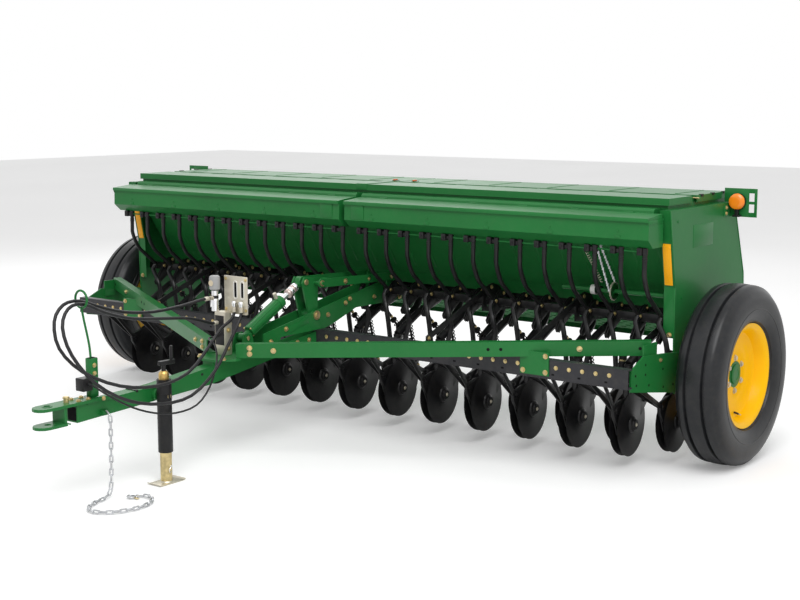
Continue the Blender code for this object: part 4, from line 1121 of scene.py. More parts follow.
@dataclass
class GrainBox:
    """The grain box: sheets carried over, with ribs, hinges, latches, clips and end flanges."""

    panel_x: float = 2.03
    lid_top: float = 1.418
    lid_front: float = -0.004
    lid_rear: float = 0.392
    lid_half: float = 1.988
    deck_front: float = -0.323
    deck_rear: float = -0.060

    def build(self) -> None:
        """Dress the sheets and add everything that is pressed or bolted on them."""
        MACHINE.dress(
            GREEN_PAINT,
            "hopper_front", "hopper_rear", "hopper_floor", "hopper_end_left", "hopper_end_right",
            "grain_deck", "grain_lid_left", "grain_lid_right", "end_panel_left", "end_panel_right",
        )
        self._ribs()
        self._deck_trim()
        for side in Side:
            self._lid_trim(side)
            self._end_trim(side)

    def _ribs(self) -> None:
        """Pressed ribs on the front and rear slopes of the hopper, one at each row."""
        shape = Shape(GREEN_PAINT)
        for row in range(ROWS):
            x = row_x(row) - ROW_PITCH / 2
            if abs(x) > 1.94:
                continue
            shape.bar((x, -0.288, 1.172), (x, -0.122, 0.925), 0.020, 0.008, bevel=0.003)
            shape.bar((x, 0.350, 1.172), (x, 0.122, 0.905), 0.020, 0.008, bevel=0.003)
        shape.box((-1.95, 1.95), (-0.316, -0.309), (1.196, 1.212), bevel=0.002)
        shape.box((-1.95, 1.95), (0.378, 0.384), (1.196, 1.212), bevel=0.002)
        shape.finish("hopper_ribs", "frame", slot="green_paint")

    def _deck_trim(self) -> None:
        """The joint cap in the middle of the deck, its hems and the hinge barrel's fixed leaves."""
        shape = Shape(GREEN_PAINT, GOLD_ZINC, ORANGE_GRIP)
        top = self.lid_top
        front, rear = self.deck_front, self.deck_rear
        shape.box((-0.075, 0.006), (front - 0.0015, rear), (top - 0.001, top + 0.0035), bevel=0.001)
        shape.box((-0.075, 0.006), (front - 0.003, front + 0.002), (1.384, top + 0.0035))
        shape.box((-self.lid_half, self.lid_half), (front - 0.0014, front + 0.002), (1.381, 1.386))
        for sign in (1, -1):
            for k in range(7):
                x = sign * (0.20 + k * 0.285)
                shape.box((x - 0.032, x + 0.032), (-0.062, -0.030), (top - 0.004, top - 0.001), 0)
                shape.rod((x - 0.032, -0.028, 1.400), (x + 0.032, -0.028, 1.400), 0.007, 1, 12)
        shape.finish("deck_trim", "frame", slot="green_paint")

    def _lid_trim(self, side: Side) -> None:
        """A lid's moving hinge leaves, hems, grip latch and end clips."""
        shape = Shape(GREEN_PAINT, BLACK_PAINT, ORANGE_GRIP, GOLD_ZINC)
        sign, top = side.value, self.lid_top
        for k in range(7):
            x = sign * (0.20 + k * 0.285) + sign * 0.070
            shape.box((x - 0.030, x + 0.030), (-0.020, 0.002), (1.404, 1.409), 0, 0.001)
            shape.rod((x - 0.030, -0.0215, 1.4045), (x + 0.030, -0.0215, 1.4045), 0.0042, 3, 10)
        low, high = sorted((sign * 0.008, sign * self.lid_half))
        shape.box((low, high), (self.lid_rear - 0.001, self.lid_rear + 0.0016), (1.3815, 1.388))
        for k in range(5):
            x = sign * (0.25 + k * 0.40)
            shape.box((x - 0.006, x + 0.006), (0.03, self.lid_rear - 0.02), (top - 0.001, top + 0.0022))
        for y in (0.06, 0.20, 0.34):
            x = sign * self.lid_half
            ends = sorted((x - sign * 0.012, x + sign * 0.0035))
            shape.box(tuple(ends), (y - 0.016, y + 0.016), (top - 0.010, top + 0.0035), 1, 0.001)
        x = sign * 0.075
        shape.box((x - 0.018, x + 0.018), (0.050, 0.082), (top - 0.001, top + 0.003), 1, 0.001)
        shape.box((x - 0.007, x + 0.007), (0.044, 0.076), (top + 0.002, top + 0.009), 2, 0.002)
        shape.box(
            (x - 0.020, x + 0.020), (self.lid_rear - 0.004, self.lid_rear + 0.003), (1.386, 1.412), 1
        )
        shape.finish(f"lid_trim_{side.word}", f"grain_lid_{side.word}", slot="green_paint")

    def _end_trim(self, side: Side) -> None:
        """Flange edges, reflector, blank plate and bolts of an end panel."""
        shape = Shape(GREEN_PAINT, REFLECTOR, GOLD_ZINC, BLACK_PAINT)
        sign = side.value

        def span(a: float, b: float) -> Pair:
            low, high = sorted((sign * a, sign * b))
            return low, high

        def on_post(z: float, ahead: float) -> float:
            return -0.316 - (z - 0.960) * 0.1791 - ahead

        x = span(1.972, 2.022)
        low = (sum(x) / 2, on_post(0.972, 0.0024), 0.972)
        high = (sum(x) / 2, on_post(1.190, 0.0024), 1.190)
        shape.bar(low, high, x[1] - x[0] - 0.004, 0.0036, 1, bevel=0.001)
        shape.bolt((sign * 2.003, -0.3130, 0.712), (0, -1, 0), 0.0105, 2)
        for z in (0.760, 0.900):
            shape.rod((sign * 2.003, -0.3105, z), (sign * 2.003, -0.3128, z), 0.0055, 3, 14)
        edge_x = span(self.panel_x - 0.006, self.panel_x + 0.0025)
        rim = [(-0.388, 1.358), (-0.316, 0.960), (-0.310, 0.645), (-0.290, 0.404)]
        for (y0, z0), (y1, z1) in zip(rim, rim[1:]):
            shape.bar((sum(edge_x) / 2, y0, z0), (sum(edge_x) / 2, y1, z1), 0.0085, 0.006, 0)
        back = [(0.390, 1.358), (0.538, 0.954), (0.544, 0.883), (0.500, 0.522)]
        for (y0, z0), (y1, z1) in zip(back, back[1:]):
            shape.bar((sum(edge_x) / 2, y0, z0), (sum(edge_x) / 2, y1, z1), 0.0085, 0.006, 0)
        face = sign * (self.panel_x + 0.0012)
        plate_x = span(self.panel_x - 0.001, self.panel_x + 0.0015)
        shape.box(plate_x, (-0.12, 0.12), (1.150, 1.270), 0, 0.0008)
        for y, z in ((-0.24, 0.90), (0.30, 0.90), (0.40, 0.62), (-0.30, 1.30), (0.30, 1.30)):
            shape.rod((face, y, z), (face + sign * 0.0022, y, z), 0.0070, 0, 16)
        shape.finish(f"end_trim_{side.word}", "frame", slot="green_paint")


@dataclass
class FrontBox:
    """The two small-seed boxes in front of the grain box."""

    front: float = -0.555
    half: float = 1.994
    gap: float = 0.020

    def build(self) -> None:
        """Dress both boxes and add their seams, straps and blank plates."""
        for side in Side:
            MACHINE.dress(GREEN_PAINT, f"front_box_{side.word}", f"front_lid_{side.word}")
            self._body_trim(side)
            self._lid_trim(side)

    def _body_trim(self, side: Side) -> None:
        """Feed rollers' blocks, front bolts, hanging straps and the plate with nothing on it."""
        sign = side.value
        shape = Shape(GREEN_PAINT, BLACK_PAINT, GOLD_ZINC, PALE_ZINC)
        for k in range(5):
            x = sign * (0.22 + k * 0.40)
            shape.box((x - 0.016, x + 0.016), (self.front - 0.003, self.front + 0.002), (1.226, 1.240), 0)
            shape.rod((x, self.front + 0.001, 1.262), (x, self.front - 0.0018, 1.262), 0.0050, 0, 14)
        ends = sorted((sign * 0.073, sign * 0.165))
        shape.box(tuple(ends), (self.front - 0.0022, self.front + 0.001), (1.230, 1.316), 0, 0.0008)
        edge = sign * self.half
        rim = sorted((edge - sign * 0.003, edge + sign * 0.002))
        shape.box(tuple(rim), (self.front - 0.002, -0.400), (1.300, 1.322), 0, 0.001)
        shape.finish(f"front_box_trim_{side.word}", "frame", slot="green_paint")

    def _lid_trim(self, side: Side) -> None:
        """A lid's hem and hinge barrels."""
        sign = side.value
        shape = Shape(GREEN_PAINT, BLACK_PAINT, ORANGE_GRIP, GOLD_ZINC)
        low, high = sorted((sign * self.gap, sign * self.half))
        shape.bar(
            ((low + high) / 2, self.front - 0.0092, 1.3185),
            ((low + high) / 2, self.front - 0.0088, 1.3285), high - low - 0.002, 0.0024, 0,
        )
        for k in range(6):
            x = sign * (0.20 + k * 0.32)
            shape.rod((x - 0.028, -0.4085, 1.3475), (x + 0.028, -0.4085, 1.3475), 0.0042, 0, 12)
        shape.finish(f"front_lid_trim_{side.word}", f"front_lid_{side.word}", slot="green_paint")


# ---- Seeding -------------------------------------------------------------------------------


@dataclass
class SeedTubes:
    """Drop tubes and their clamps under the front boxes, and the grain tubes to the openers."""

    clamp_y: float = -0.498
    clamp_top: float = 1.1777
    first_clamp: float = 0.096
    tube_radius: float = 0.0125
    grain_radius: float = 0.0225

    def build(self) -> None:
        """Make the drop tubes of each side and all grain tubes."""
        for side in Side:
            self._drop_tubes(side)
        self._grain_tubes()
        MACHINE.dress(BLACK_PAINT, "feed_cups")

    def _drop_tubes(self, side: Side) -> None:
        """Thirteen clamps on one tie rod, each with its black tube."""
        sign, top = side.value, self.clamp_top
        shape = Shape(TUBE_PLASTIC, GREEN_PAINT)
        y, z = self.clamp_y, top - 0.020
        clamps = [sign * (self.first_clamp + ROW_PITCH * k) for k in range(ROWS // 2)]
        shape.rod((clamps[0] - sign * 0.03, y, z), (clamps[-1] + sign * 0.01, y, z), 0.0045, 1, 10)
        for x in clamps:
            tube_x = min(x + 0.042, 1.949)
            if abs(tube_x) < 0.062:
                tube_x = -0.036
            low, high = sorted((x, tube_x))
            shape.box((x - 0.016, x + 0.014), (y - 0.019, y + 0.015), (top - 0.038, top), 0, 0.003)
            shape.box((low, high), (y - 0.010, y + 0.010), (top - 0.032, top - 0.012), 0)
            shape.turned(
                [(0.0, 0.0), (0.0, 0.015), (0.034, 0.0148), (0.036, 0.013), (0.036, 0.0)],
                (tube_x, y - 0.002, top - 0.001), (0, 0, -1), 0, 20,
            )
            shape.bolt((x - 0.003, y - 0.018, top - 0.020), (0, -1, 0), 0.0055, 0, 0.003)
            for out in (0.052, 0.064):
                shape.turned(
                    [(0.0, 0.0122), (0.0, 0.0142), (0.006, 0.0142), (0.006, 0.0122)],
                    (tube_x, y - 0.003, top - out), (0, 0, -1), 0, 16,
                )
            bends = ((-0.500, 1.150), (-0.503, 1.040), (-0.440, 0.915), (-0.300, 0.800))
            path = smooth_path([(tube_x, b, c) for b, c in bends], 8)
            shape.tube(path, self.tube_radius, 0, 3)
        name = f"seed_tubes_{side.word}"
        shape.finish(f"drop_tubes_{side.word}", "frame", (name,), "hose_rubber")

    def _grain_tubes(self) -> None:
        """Flexible tubes to every opener, bent between frame and openers.

        One comes from the feed cup and a thinner one carries on from the drop tube. A long dark sheet behind the feed
        cups is painted shade under the hopper.
        """
        shape = Shape(TUBE_PLASTIC)
        for row in range(ROWS):
            x = row_x(row)
            hub_y = Opener.hub_y(row)
            start = Vector((x + 0.012, -0.004, 0.752))
            end = Vector((x, hub_y - 0.018, 0.555))
            middle = start.lerp(end, 0.45) + Vector((0.016, 0.02, -0.015))
            if row % 2:
                middle = Vector((x + 0.018, -0.245, 0.655))
            path = smooth_path([start, start - Vector((0, 0, 0.03)), middle, end], 8)
            shape.tube(path, self.grain_radius, 0, 3)
            drop_x = x - 0.0147 if x > 0.1 else x - 0.054
            thin = [
                (min(drop_x, 1.949), -0.306, 0.792), (min(drop_x, 1.949), -0.326, 0.765),
                (x + 0.020, -0.352, 0.690), (x + 0.034, -0.350, 0.600),
                (x + 0.026, -0.400 if row % 2 else -0.318, 0.470),
            ]
            shape.tube(smooth_path(thin, 6), 0.0145, 0, 3)
        # Painted shade: a long dark sheet behind the feed cups that fills the gaps under the hopper.
        shape.box((-1.96, 1.96), (0.0435, 0.0485), (0.752, 0.8095), 0)
        obj = shape.finish("grain_tubes", None, slot="hose_rubber")
        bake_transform(obj)


@dataclass
class Opener:
    """One double-disc opener, built once for each row along the pivot rod."""

    row: int
    blade_radius: float = 0.1713
    toe: float = 3.5

    @staticmethod
    def hub_y(row: int) -> float:
        """Y of a row's hub: the odd rows stand forward of the even ones."""
        return -0.400 if row % 2 else -0.180

    @property
    def hub(self) -> Vector:
        """Centre of the hub."""
        return Vector((row_x(self.row), self.hub_y(self.row), 0.232))

    @property
    def apex(self) -> Vector:
        """Where the two drawbars meet."""
        return self.hub + Vector((0.0, -0.172, 0.104))

    def into(self, shape: Shape) -> None:
        """Add the whole opener to a shape.

        Args:
            shape: Shape with finishes for paint, blade, pale bolts, gold nuts and plastic.
        """
        self._drawbars(shape)
        self._blades(shape)
        self._boot(shape)
        self._pressure_rod(shape)
        self._tube_socket(shape)

    def _drawbars(self, shape: Shape) -> None:
        """The V of two flat bars with eyes round the pivot rod."""
        x, apex = row_x(self.row), self.apex
        spread = min(0.050, 2.03 - x - 0.010)
        pin = Vector((0, *RAIL_BACK_PIN))
        for side in (spread, -0.050):
            tip = apex + Vector((math.copysign(0.0055, side), 0, 0))
            eye = Vector((x + side, pin.y, pin.z))
            shape.bar(eye, tip, 0.008, 0.024, 0, bevel=0.0015)
            shape.rod(eye - Vector((0.007, 0, 0)), eye + Vector((0.007, 0, 0)), 0.0195, 0, 18)
        shape.bolt(apex + Vector((0.0105, 0.004, 0.004)), (1, 0, 0), 0.0095, 0, 0.006)

    def _blades(self, shape: Shape) -> None:
        """Two dished blades that meet low at the front, their hubs, dust caps and bolts."""
        hub, r = self.hub, self.blade_radius
        for sign in (1, -1):
            toe = Matrix.Rotation(math.radians(sign * self.toe), 3, "Z")
            out = toe @ Vector((sign, 0, 0))
            base = hub + out * 0.0125
            disc = [
                (0.0, 0.0), (0.0, r - 0.012), (0.0005, r - 0.0105), (0.0012, r), (0.0020, r),
                (0.0034, r - 0.0095), (0.0036, 0.060), (0.0066, 0.052), (0.0066, 0.0),
            ]
            shape.turned(disc, base, out, 1, 44)
            cap = [
                (0.006, 0.0), (0.006, 0.046), (0.011, 0.045), (0.017, 0.040), (0.020, 0.030),
                (0.026, 0.029), (0.029, 0.026), (0.0295, 0.0),
            ]
            shape.turned(cap, base, out, 0, 24)
            shape.bolt(base + out * 0.0285, out, 0.0080, 2, 0.0045)
            for k in range(4):
                turn = math.radians(45 + 90 * k)
                off = toe @ Vector((0, math.cos(turn), math.sin(turn))) * 0.036
                shape.rod(base + out * 0.010 + off, base + out * 0.0165 + off, 0.0045, 0, 8)

    def _boot(self, shape: Shape) -> None:
        """The cast boot between the blades and the scraper in front."""
        hub, apex, x = self.hub, self.apex, row_x(self.row)
        y, z = hub.y, hub.z
        outline = [
            (apex.y - 0.020, apex.z + 0.016), (apex.y - 0.012, apex.z - 0.030),
            (apex.y + 0.030, apex.z - 0.092), (y - 0.060, z - 0.020), (y + 0.020, z - 0.028),
            (y + 0.120, z + 0.030), (y + 0.190, z + 0.095), (y + 0.182, z + 0.125),
            (y + 0.080, z + 0.148), (y - 0.020, z + 0.150), (y - 0.095, z + 0.146),
        ]
        shape.plate(outline, (x - 0.0095, x + 0.0095), 0, 0.002)
        shape.bar(
            (x + 0.0105, apex.y + 0.010, apex.z - 0.008), (x + 0.0105, y - 0.040, z + 0.052),
            0.004, 0.020, 0,
        )
        shape.plate(
            [(apex.y - 0.012, apex.z - 0.02), (apex.y + 0.008, apex.z - 0.02),
             (apex.y + 0.050, apex.z - 0.130), (apex.y + 0.040, apex.z - 0.140)],
            (x - 0.004, x + 0.004), 0, 0.001,
        )
        shape.bolt((x + 0.0095, y + 0.150, z + 0.104), (1, 0, 0), 0.0085, 0, 0.005)

    def _pressure_rod(self, shape: Shape) -> None:
        """The rod from the boot's tail to the rockshaft's arm, with its coil spring."""
        hub, x = self.hub, row_x(self.row)
        low = Vector((x, hub.y + 0.172, hub.z + 0.108))
        high = Vector((x, ROCKSHAFT[0] - 0.113, ROCKSHAFT[1] - 0.105))
        way = (high - low).normalized()
        length = (high - low).length
        shape.rod(low, high, 0.0072, 0, 12)
        shape.rod(low - Vector((0.013, 0, 0)), low + Vector((0.013, 0, 0)), 0.0125, 0, 16)
        shape.bolt(low + Vector((0.0125, 0, 0)), (1, 0, 0), 0.0085, 3, 0.005)
        for place, radius in ((0.20, 0.021), (0.80, 0.021)):
            seat = low + way * length * place
            shape.rod(seat - way * 0.002, seat + way * 0.002, radius, 0, 18)
        nut = low + way * length * 0.87
        shape.rod(nut - way * 0.006, nut + way * 0.006, 0.0105, 3, 6)
        turns, steps = 9, 10
        across = Vector((1, 0, 0))
        other = way.cross(across).normalized()
        coil = []
        for k in range(turns * steps + 1):
            angle = 2 * math.pi * k / steps
            height = length * (0.21 + 0.58 * k / (turns * steps))
            ring = across * math.cos(angle) + other * math.sin(angle)
            coil.append(low + way * height + ring * 0.0160)
        shape.tube(coil, 0.0032, 0, 1)

    def _tube_socket(self, shape: Shape) -> None:
        """The square-shouldered plastic socket that takes the grain tube."""
        hub, x = self.hub, row_x(self.row)
        low = Vector((x, hub.y - 0.045, hub.z + 0.125))
        high = Vector((x, hub.y - 0.015, hub.z + 0.325))
        way = (high - low).normalized()
        profile = [
            (0.0, 0.0), (0.0, 0.013), (0.030, 0.0165), (0.060, 0.018), (0.140, 0.0205),
            (0.142, 0.0228), (0.150, 0.0228), (0.152, 0.0212), (0.186, 0.0218), (0.188, 0.0232),
            (0.198, 0.0232), (0.200, 0.0205), (0.200, 0.0),
        ]
        shape.turned(profile, low, way, 4, 18)
        clamp = low + way * 0.168
        shape.turned(
            [(-0.004, 0.0222), (0.004, 0.0222), (0.004, 0.0229), (-0.004, 0.0229)],
            clamp, way, 3, 18,
        )


@dataclass
class OpenerRows:
    """All openers on their pivot rods, one piece to a CAD node."""

    def build(self) -> None:
        """Make the left and the right half."""
        for side, rows in ((Side.LEFT, range(13)), (Side.RIGHT, range(13, ROWS))):
            shape = Shape(BLACK_PAINT, BLADE_STEEL, PALE_ZINC, GOLD_ZINC, TUBE_PLASTIC)
            first = min(row_x(rows[0]) + 0.056, 2.027)
            last = row_x(rows[-1]) - 0.056
            shape.rod((first, *RAIL_BACK_PIN), (last, *RAIL_BACK_PIN), 0.0118, 3, 16)
            for row in rows:
                Opener(row).into(shape)
            node = f"openers_{side.word}"
            shape.finish(f"disc_rows_{side.word}", "openers", (node,), "black_paint")


@dataclass
class Rockshaft:
    """The square lifting shaft with a pair of forked arms at each row and two lift levers."""

    half_side: float = 0.0225
    half_length: float = 2.0237
    lever_pin: Pair = (-0.205, 0.858)

    def build(self) -> None:
        """Make the shaft with everything clamped on it."""
        y, z = ROCKSHAFT
        s = self.half_side
        shape = Shape(BLACK_PAINT, GOLD_ZINC, GREEN_PAINT)
        half = self.half_length
        shape.box((-half, half), (y - s, y + s), (z - s, z + s), 0, 0.003)
        for row in range(ROWS):
            self._arm(shape, row_x(row))
        for sign in (1, -1):
            self._lever(shape, sign)
        shape.finish("square_shaft", "rockshaft", ("rockshaft",), "black_paint")

    def _arm(self, shape: Shape, x: float) -> None:
        """A pair of pressed plates that carry a pressure rod's swivel, with two gold bolts."""
        y, z = ROCKSHAFT
        outline = [
            (y + 0.045, z + 0.062), (y + 0.012, z + 0.058), (y - 0.022, z + 0.040),
            (y - 0.070, z - 0.025), (y - 0.122, z - 0.095), (y - 0.112, z - 0.116),
            (y - 0.100, z - 0.122), (y - 0.040, z - 0.078), (y + 0.030, z - 0.040),
            (y + 0.060, z + 0.010), (y + 0.062, z + 0.040),
        ]
        for plate_x in ((x - 0.048, x - 0.043), (x - 0.035, x - 0.030)):
            shape.plate(outline, plate_x, 0, 0.001)
        for dy, dz in ((0.040, 0.044), (-0.036, 0.006)):
            shape.rod((x - 0.044, y + dy, z + dz), (x - 0.034, y + dy, z + dz), 0.008, 0, 12)
            shape.bolt((x - 0.0305, y + dy, z + dz), (1, 0, 0), 0.0088, 1, 0.0035)
        swivel = (y - 0.107, z - 0.103)
        shape.rod((x - 0.047, *swivel), (x - 0.031, *swivel), 0.011, 0, 14)
        shape.rod((x - 0.0465, *swivel), (x - 0.0302, *swivel), 0.0055, 1, 10)

    def _lever(self, shape: Shape, sign: int) -> None:
        """One of the two lift levers beside the upper beam, with its pin."""
        y, z = ROCKSHAFT
        pin_y, pin_z = self.lever_pin
        outline = [(y - 0.035, z - 0.01), (y + 0.035, z - 0.01)]
        outline += arc((pin_y, pin_z), 0.022, 0, 180, 10)
        ends = sorted((sign * 0.072, sign * 0.084))
        shape.plate(outline, (ends[0], ends[1]), 2, 0.002)
        shape.rod((sign * 0.074, pin_y, pin_z), (sign * 0.106, pin_y, pin_z), 0.0098, 1, 20, bevel=0.0015)
        shape.rod((sign * 0.1025, pin_y, pin_z - 0.014), (sign * 0.1025, pin_y, pin_z + 0.014), 0.0018, 1, 8)


# ---- Frame ---------------------------------------------------------------------------------


@dataclass
class MainFrame:
    """Rail, plates, arms, hangers, rear tube and walkboard with their bolts."""

    rail_front: float = -0.837
    rail_z: Pair = (0.515, 0.615)
    bolt_pitch: float = 0.0762
    last_bolt_x: float = 1.944

    def build(self) -> None:
        """Dress the carried-over sheets and add the trim of each."""
        MACHINE.dress(RAIL_PAINT, "front_rail")
        MACHINE.dress(
            BLACK_PAINT, "brace_1", "brace_2", "brace_3", "brace_4", "main_tube",
            "axle_spindle_left", "axle_spindle_right",
        )
        MACHINE.dress(GREEN_PAINT, "end_plate_left", "end_plate_right", "arm_left", "arm_right")
        MACHINE.dress(BOARD_PAINT, "walkboard")
        self._rail_trim()
        for side in Side:
            self._plate_trim(side)
            self._arm_trim(side)
        self._walkboard_trim()
        self._brace_trim()

    def _rail_trim(self) -> None:
        """The rail's row of gold bolts, with dark patches of painted shade for pressed slots between them, and a rear
        lip.
        """
        shape = Shape(GOLD_ZINC, SHADOW, RAIL_PAINT)
        y = self.rail_front
        count = int(2 * self.last_bolt_x / self.bolt_pitch)
        for k in range(count + 1):
            x = self.last_bolt_x - k * self.bolt_pitch
            if abs(x) < 0.095 or 1.42 < abs(x) < 1.61:
                continue
            shape.bolt((x, y, 0.577), (0, -1, 0), 0.0085, 0, 0.004)
            # Painted shade: on every other bolt pitch, a dark patch on the rail's face for a pressed slot.
            if k % 2 == 0:
                shape.box(
                    (x - 0.026, x - 0.010), (y - 0.0012, y + 0.001), (0.536, 0.545), 1, 0.0008
                )
        for z in self.rail_z:
            edge = (z - 0.0035, z + 0.0005) if z > 0.6 else (z - 0.0005, z + 0.0035)
            shape.box((-2.044, 2.044), (y - 0.0012, y + 0.002), edge, 2, 0.0008)
        shape.finish("rail_trim", "frame", slot="black_paint")

    def _plate_trim(self, side: Side) -> None:
        """Bolts and holes of an end plate, and the spindle's collar; the holes are dark discs of painted shade."""
        sign = side.value
        shape = Shape(GREEN_PAINT, GOLD_ZINC, SHADOW, BLACK_PAINT)
        face = sign * 2.040
        out = (sign, 0, 0)
        shape.bolt((face, -0.480, 0.610), out, 0.0090, 1)
        # Painted shade: dark discs on the plate's face for its holes.
        for y, z in ((-0.745, 0.570), (-0.735, 0.520), (-0.640, 0.610), (-0.640, 0.560),
                     (-0.600, 0.500), (-0.450, 0.560), (-0.440, 0.465), (-0.330, 0.460)):
            shape.rod((face - sign * 0.002, y, z), (face + sign * 0.0008, y, z), 0.0065, 2, 18)
        for turn in range(4):
            angle = math.radians(45 + 90 * turn)
            place = (sign * 2.044, 0.075 * math.cos(angle) * 0.9, 0.482 + 0.075 * math.sin(angle) * 0.9)
            shape.bolt(place, out, 0.0105, 1)
        collar = [(0.0, 0.0352), (0.0, 0.052), (0.020, 0.050), (0.028, 0.042), (0.030, 0.0352)]
        shape.turned(collar, (sign * 2.0445, 0, 0.482), out, 3, 28)
        shape.finish(f"end_plate_trim_{side.word}", "frame", slot="green_paint")

    def _arm_trim(self, side: Side) -> None:
        """An arm's clamp bolts on the rail and its bolts and holes at both ends; the holes are dark discs of painted
        shade.
        """
        sign = side.value
        shape = Shape(GREEN_PAINT, GOLD_ZINC, SHADOW)
        start, end = Vector((0.108, -1.567, 0.602)), Vector((2.024, -0.5545, 0.680))
        along = (end - start).normalized()
        out = Vector((along.y, -along.x, 0)).normalized()
        flip = Matrix.Diagonal((sign, 1, 1))
        up = Vector((0, 0, 1))
        for place, height in ((0.035, 0.016), (0.035, -0.016), (0.095, 0.0), (0.835, 0.0)):
            spot = start.lerp(end, place) + out * 0.003 + up * height
            shape.bolt(flip @ spot, flip @ out, 0.0110, 1)
        # Painted shade: dark discs on the arm's face for its holes.
        for place in (0.620, 0.650, 0.975):
            spot = start.lerp(end, place) + out * 0.0024
            shape.rod(flip @ spot, flip @ (spot + out * 0.0012), 0.0085, 2, 18)
        face = self.rail_front - 0.0083
        for x, z in ((1.448, 0.548), (1.582, 0.548), (1.448, 0.632), (1.582, 0.632)):
            shape.bolt((sign * x, face, z), (0, -1, 0), 0.0105, 1)
        shape.finish(f"arm_trim_{side.word}", "frame", slot="green_paint")

    def _walkboard_trim(self) -> None:
        """Raised grips on the board and its bracket bolts."""
        shape = Shape(BOARD_PAINT, GOLD_ZINC)
        for k in range(48):
            x = -1.86 + k * 0.0791
            for y in (0.505, 0.560, 0.615, 0.670):
                shape.box((x - 0.016, x + 0.016), (y - 0.004, y + 0.004), (0.5745, 0.5775), 0, 0)
        for sign in (1, -1):
            for y in (0.36, 0.44):
                shape.bolt((sign * 2.0160, y, 0.585), (-sign, 0, 0), 0.0105, 1)
        shape.finish("walkboard_grips", "frame", slot="green_paint")

    def _brace_trim(self) -> None:
        """Bolts where the hangers stand on the rail and meet the hopper."""
        shape = Shape(GOLD_ZINC, BLACK_PAINT)
        for row in (4, 8, 18, 22):
            x = row_x(row) + 0.3 * ROW_PITCH
            for y, z in ((-0.185, 0.850), (-0.130, 0.725), (-0.060, 0.790), (0.055, 0.735)):
                shape.bolt((x + 0.005, y, z), (1, 0, 0), 0.0095, 0, 0.005)
            shape.bolt((x + 0.0045, -0.795, 0.636), (1, 0, 0), 0.0095, 0, 0.005)
        shape.finish("brace_bolts", "frame", slot="zinc_plate")


# ---- Drive ---------------------------------------------------------------------------------


@dataclass
class Drive:
    """The feed drive's cross shaft: chain, tensioner spring, sprocket and white bushing."""

    shaft: Pair = (-0.255, 0.905)

    def build(self) -> None:
        """Dress the shaft and add what turns and pulls on it."""
        MACHINE.dress(GREEN_PAINT, "drive_shaft")
        shape = Shape(BLACK_PAINT, WHITE_RIM, PALE_ZINC, CHAIN_STEEL, GREEN_PAINT)
        y, z = self.shaft
        tooth = [(0.0, 0.0124), (0.0, 0.046), (0.002, 0.0485), (0.008, 0.0485), (0.010, 0.046), (0.010, 0.0124)]
        shape.turned(tooth, (1.640, y, z), (1, 0, 0), 2, 40)
        for k in range(16):
            a = math.radians(360 * k / 16)
            spot = (1.645, y + 0.0485 * math.cos(a), z + 0.0485 * math.sin(a))
            shape.box((1.6425, 1.6475), (spot[1] - 0.003, spot[1] + 0.003), (spot[2] - 0.003, spot[2] + 0.003), 2, 0)
        shape.turned([(0.0, 0.0123), (0.0, 0.027), (0.028, 0.027), (0.028, 0.0123)], (1.512, y, z), (1, 0, 0), 1, 28)
        shape.turned([(0.0, 0.0122), (0.0, 0.022), (0.016, 0.022), (0.016, 0.0122)], (1.552, y, z), (1, 0, 0), 0, 24)
        for dy in (-0.0475, 0.0475):
            for k in range(17):
                height = z + 0.012 + k * 0.0152
                wide = 0.0035 if k % 2 else 0.0055
                top_y = y + dy - (height - z) * (0.58 if dy < 0 else 0.78)
                shape.box((1.645 - wide, 1.645 + wide), (top_y - 0.0035, top_y + 0.0035), (height - 0.008, height + 0.008), 3, 0)
        coil = []
        for k in range(151):
            angle = 2 * math.pi * k / 10
            base = Vector((1.585, -0.470, 1.150)).lerp(Vector((1.600, -0.310, 0.960)), k / 150)
            coil.append(base + Vector((math.cos(angle), math.sin(angle) * 0.77, math.sin(angle) * 0.64)) * 0.008)
        shape.tube(coil, 0.0014, 2, 1)
        shape.finish("feed_drive", "frame", slot="black_paint")


# ---- Tongue --------------------------------------------------------------------------------


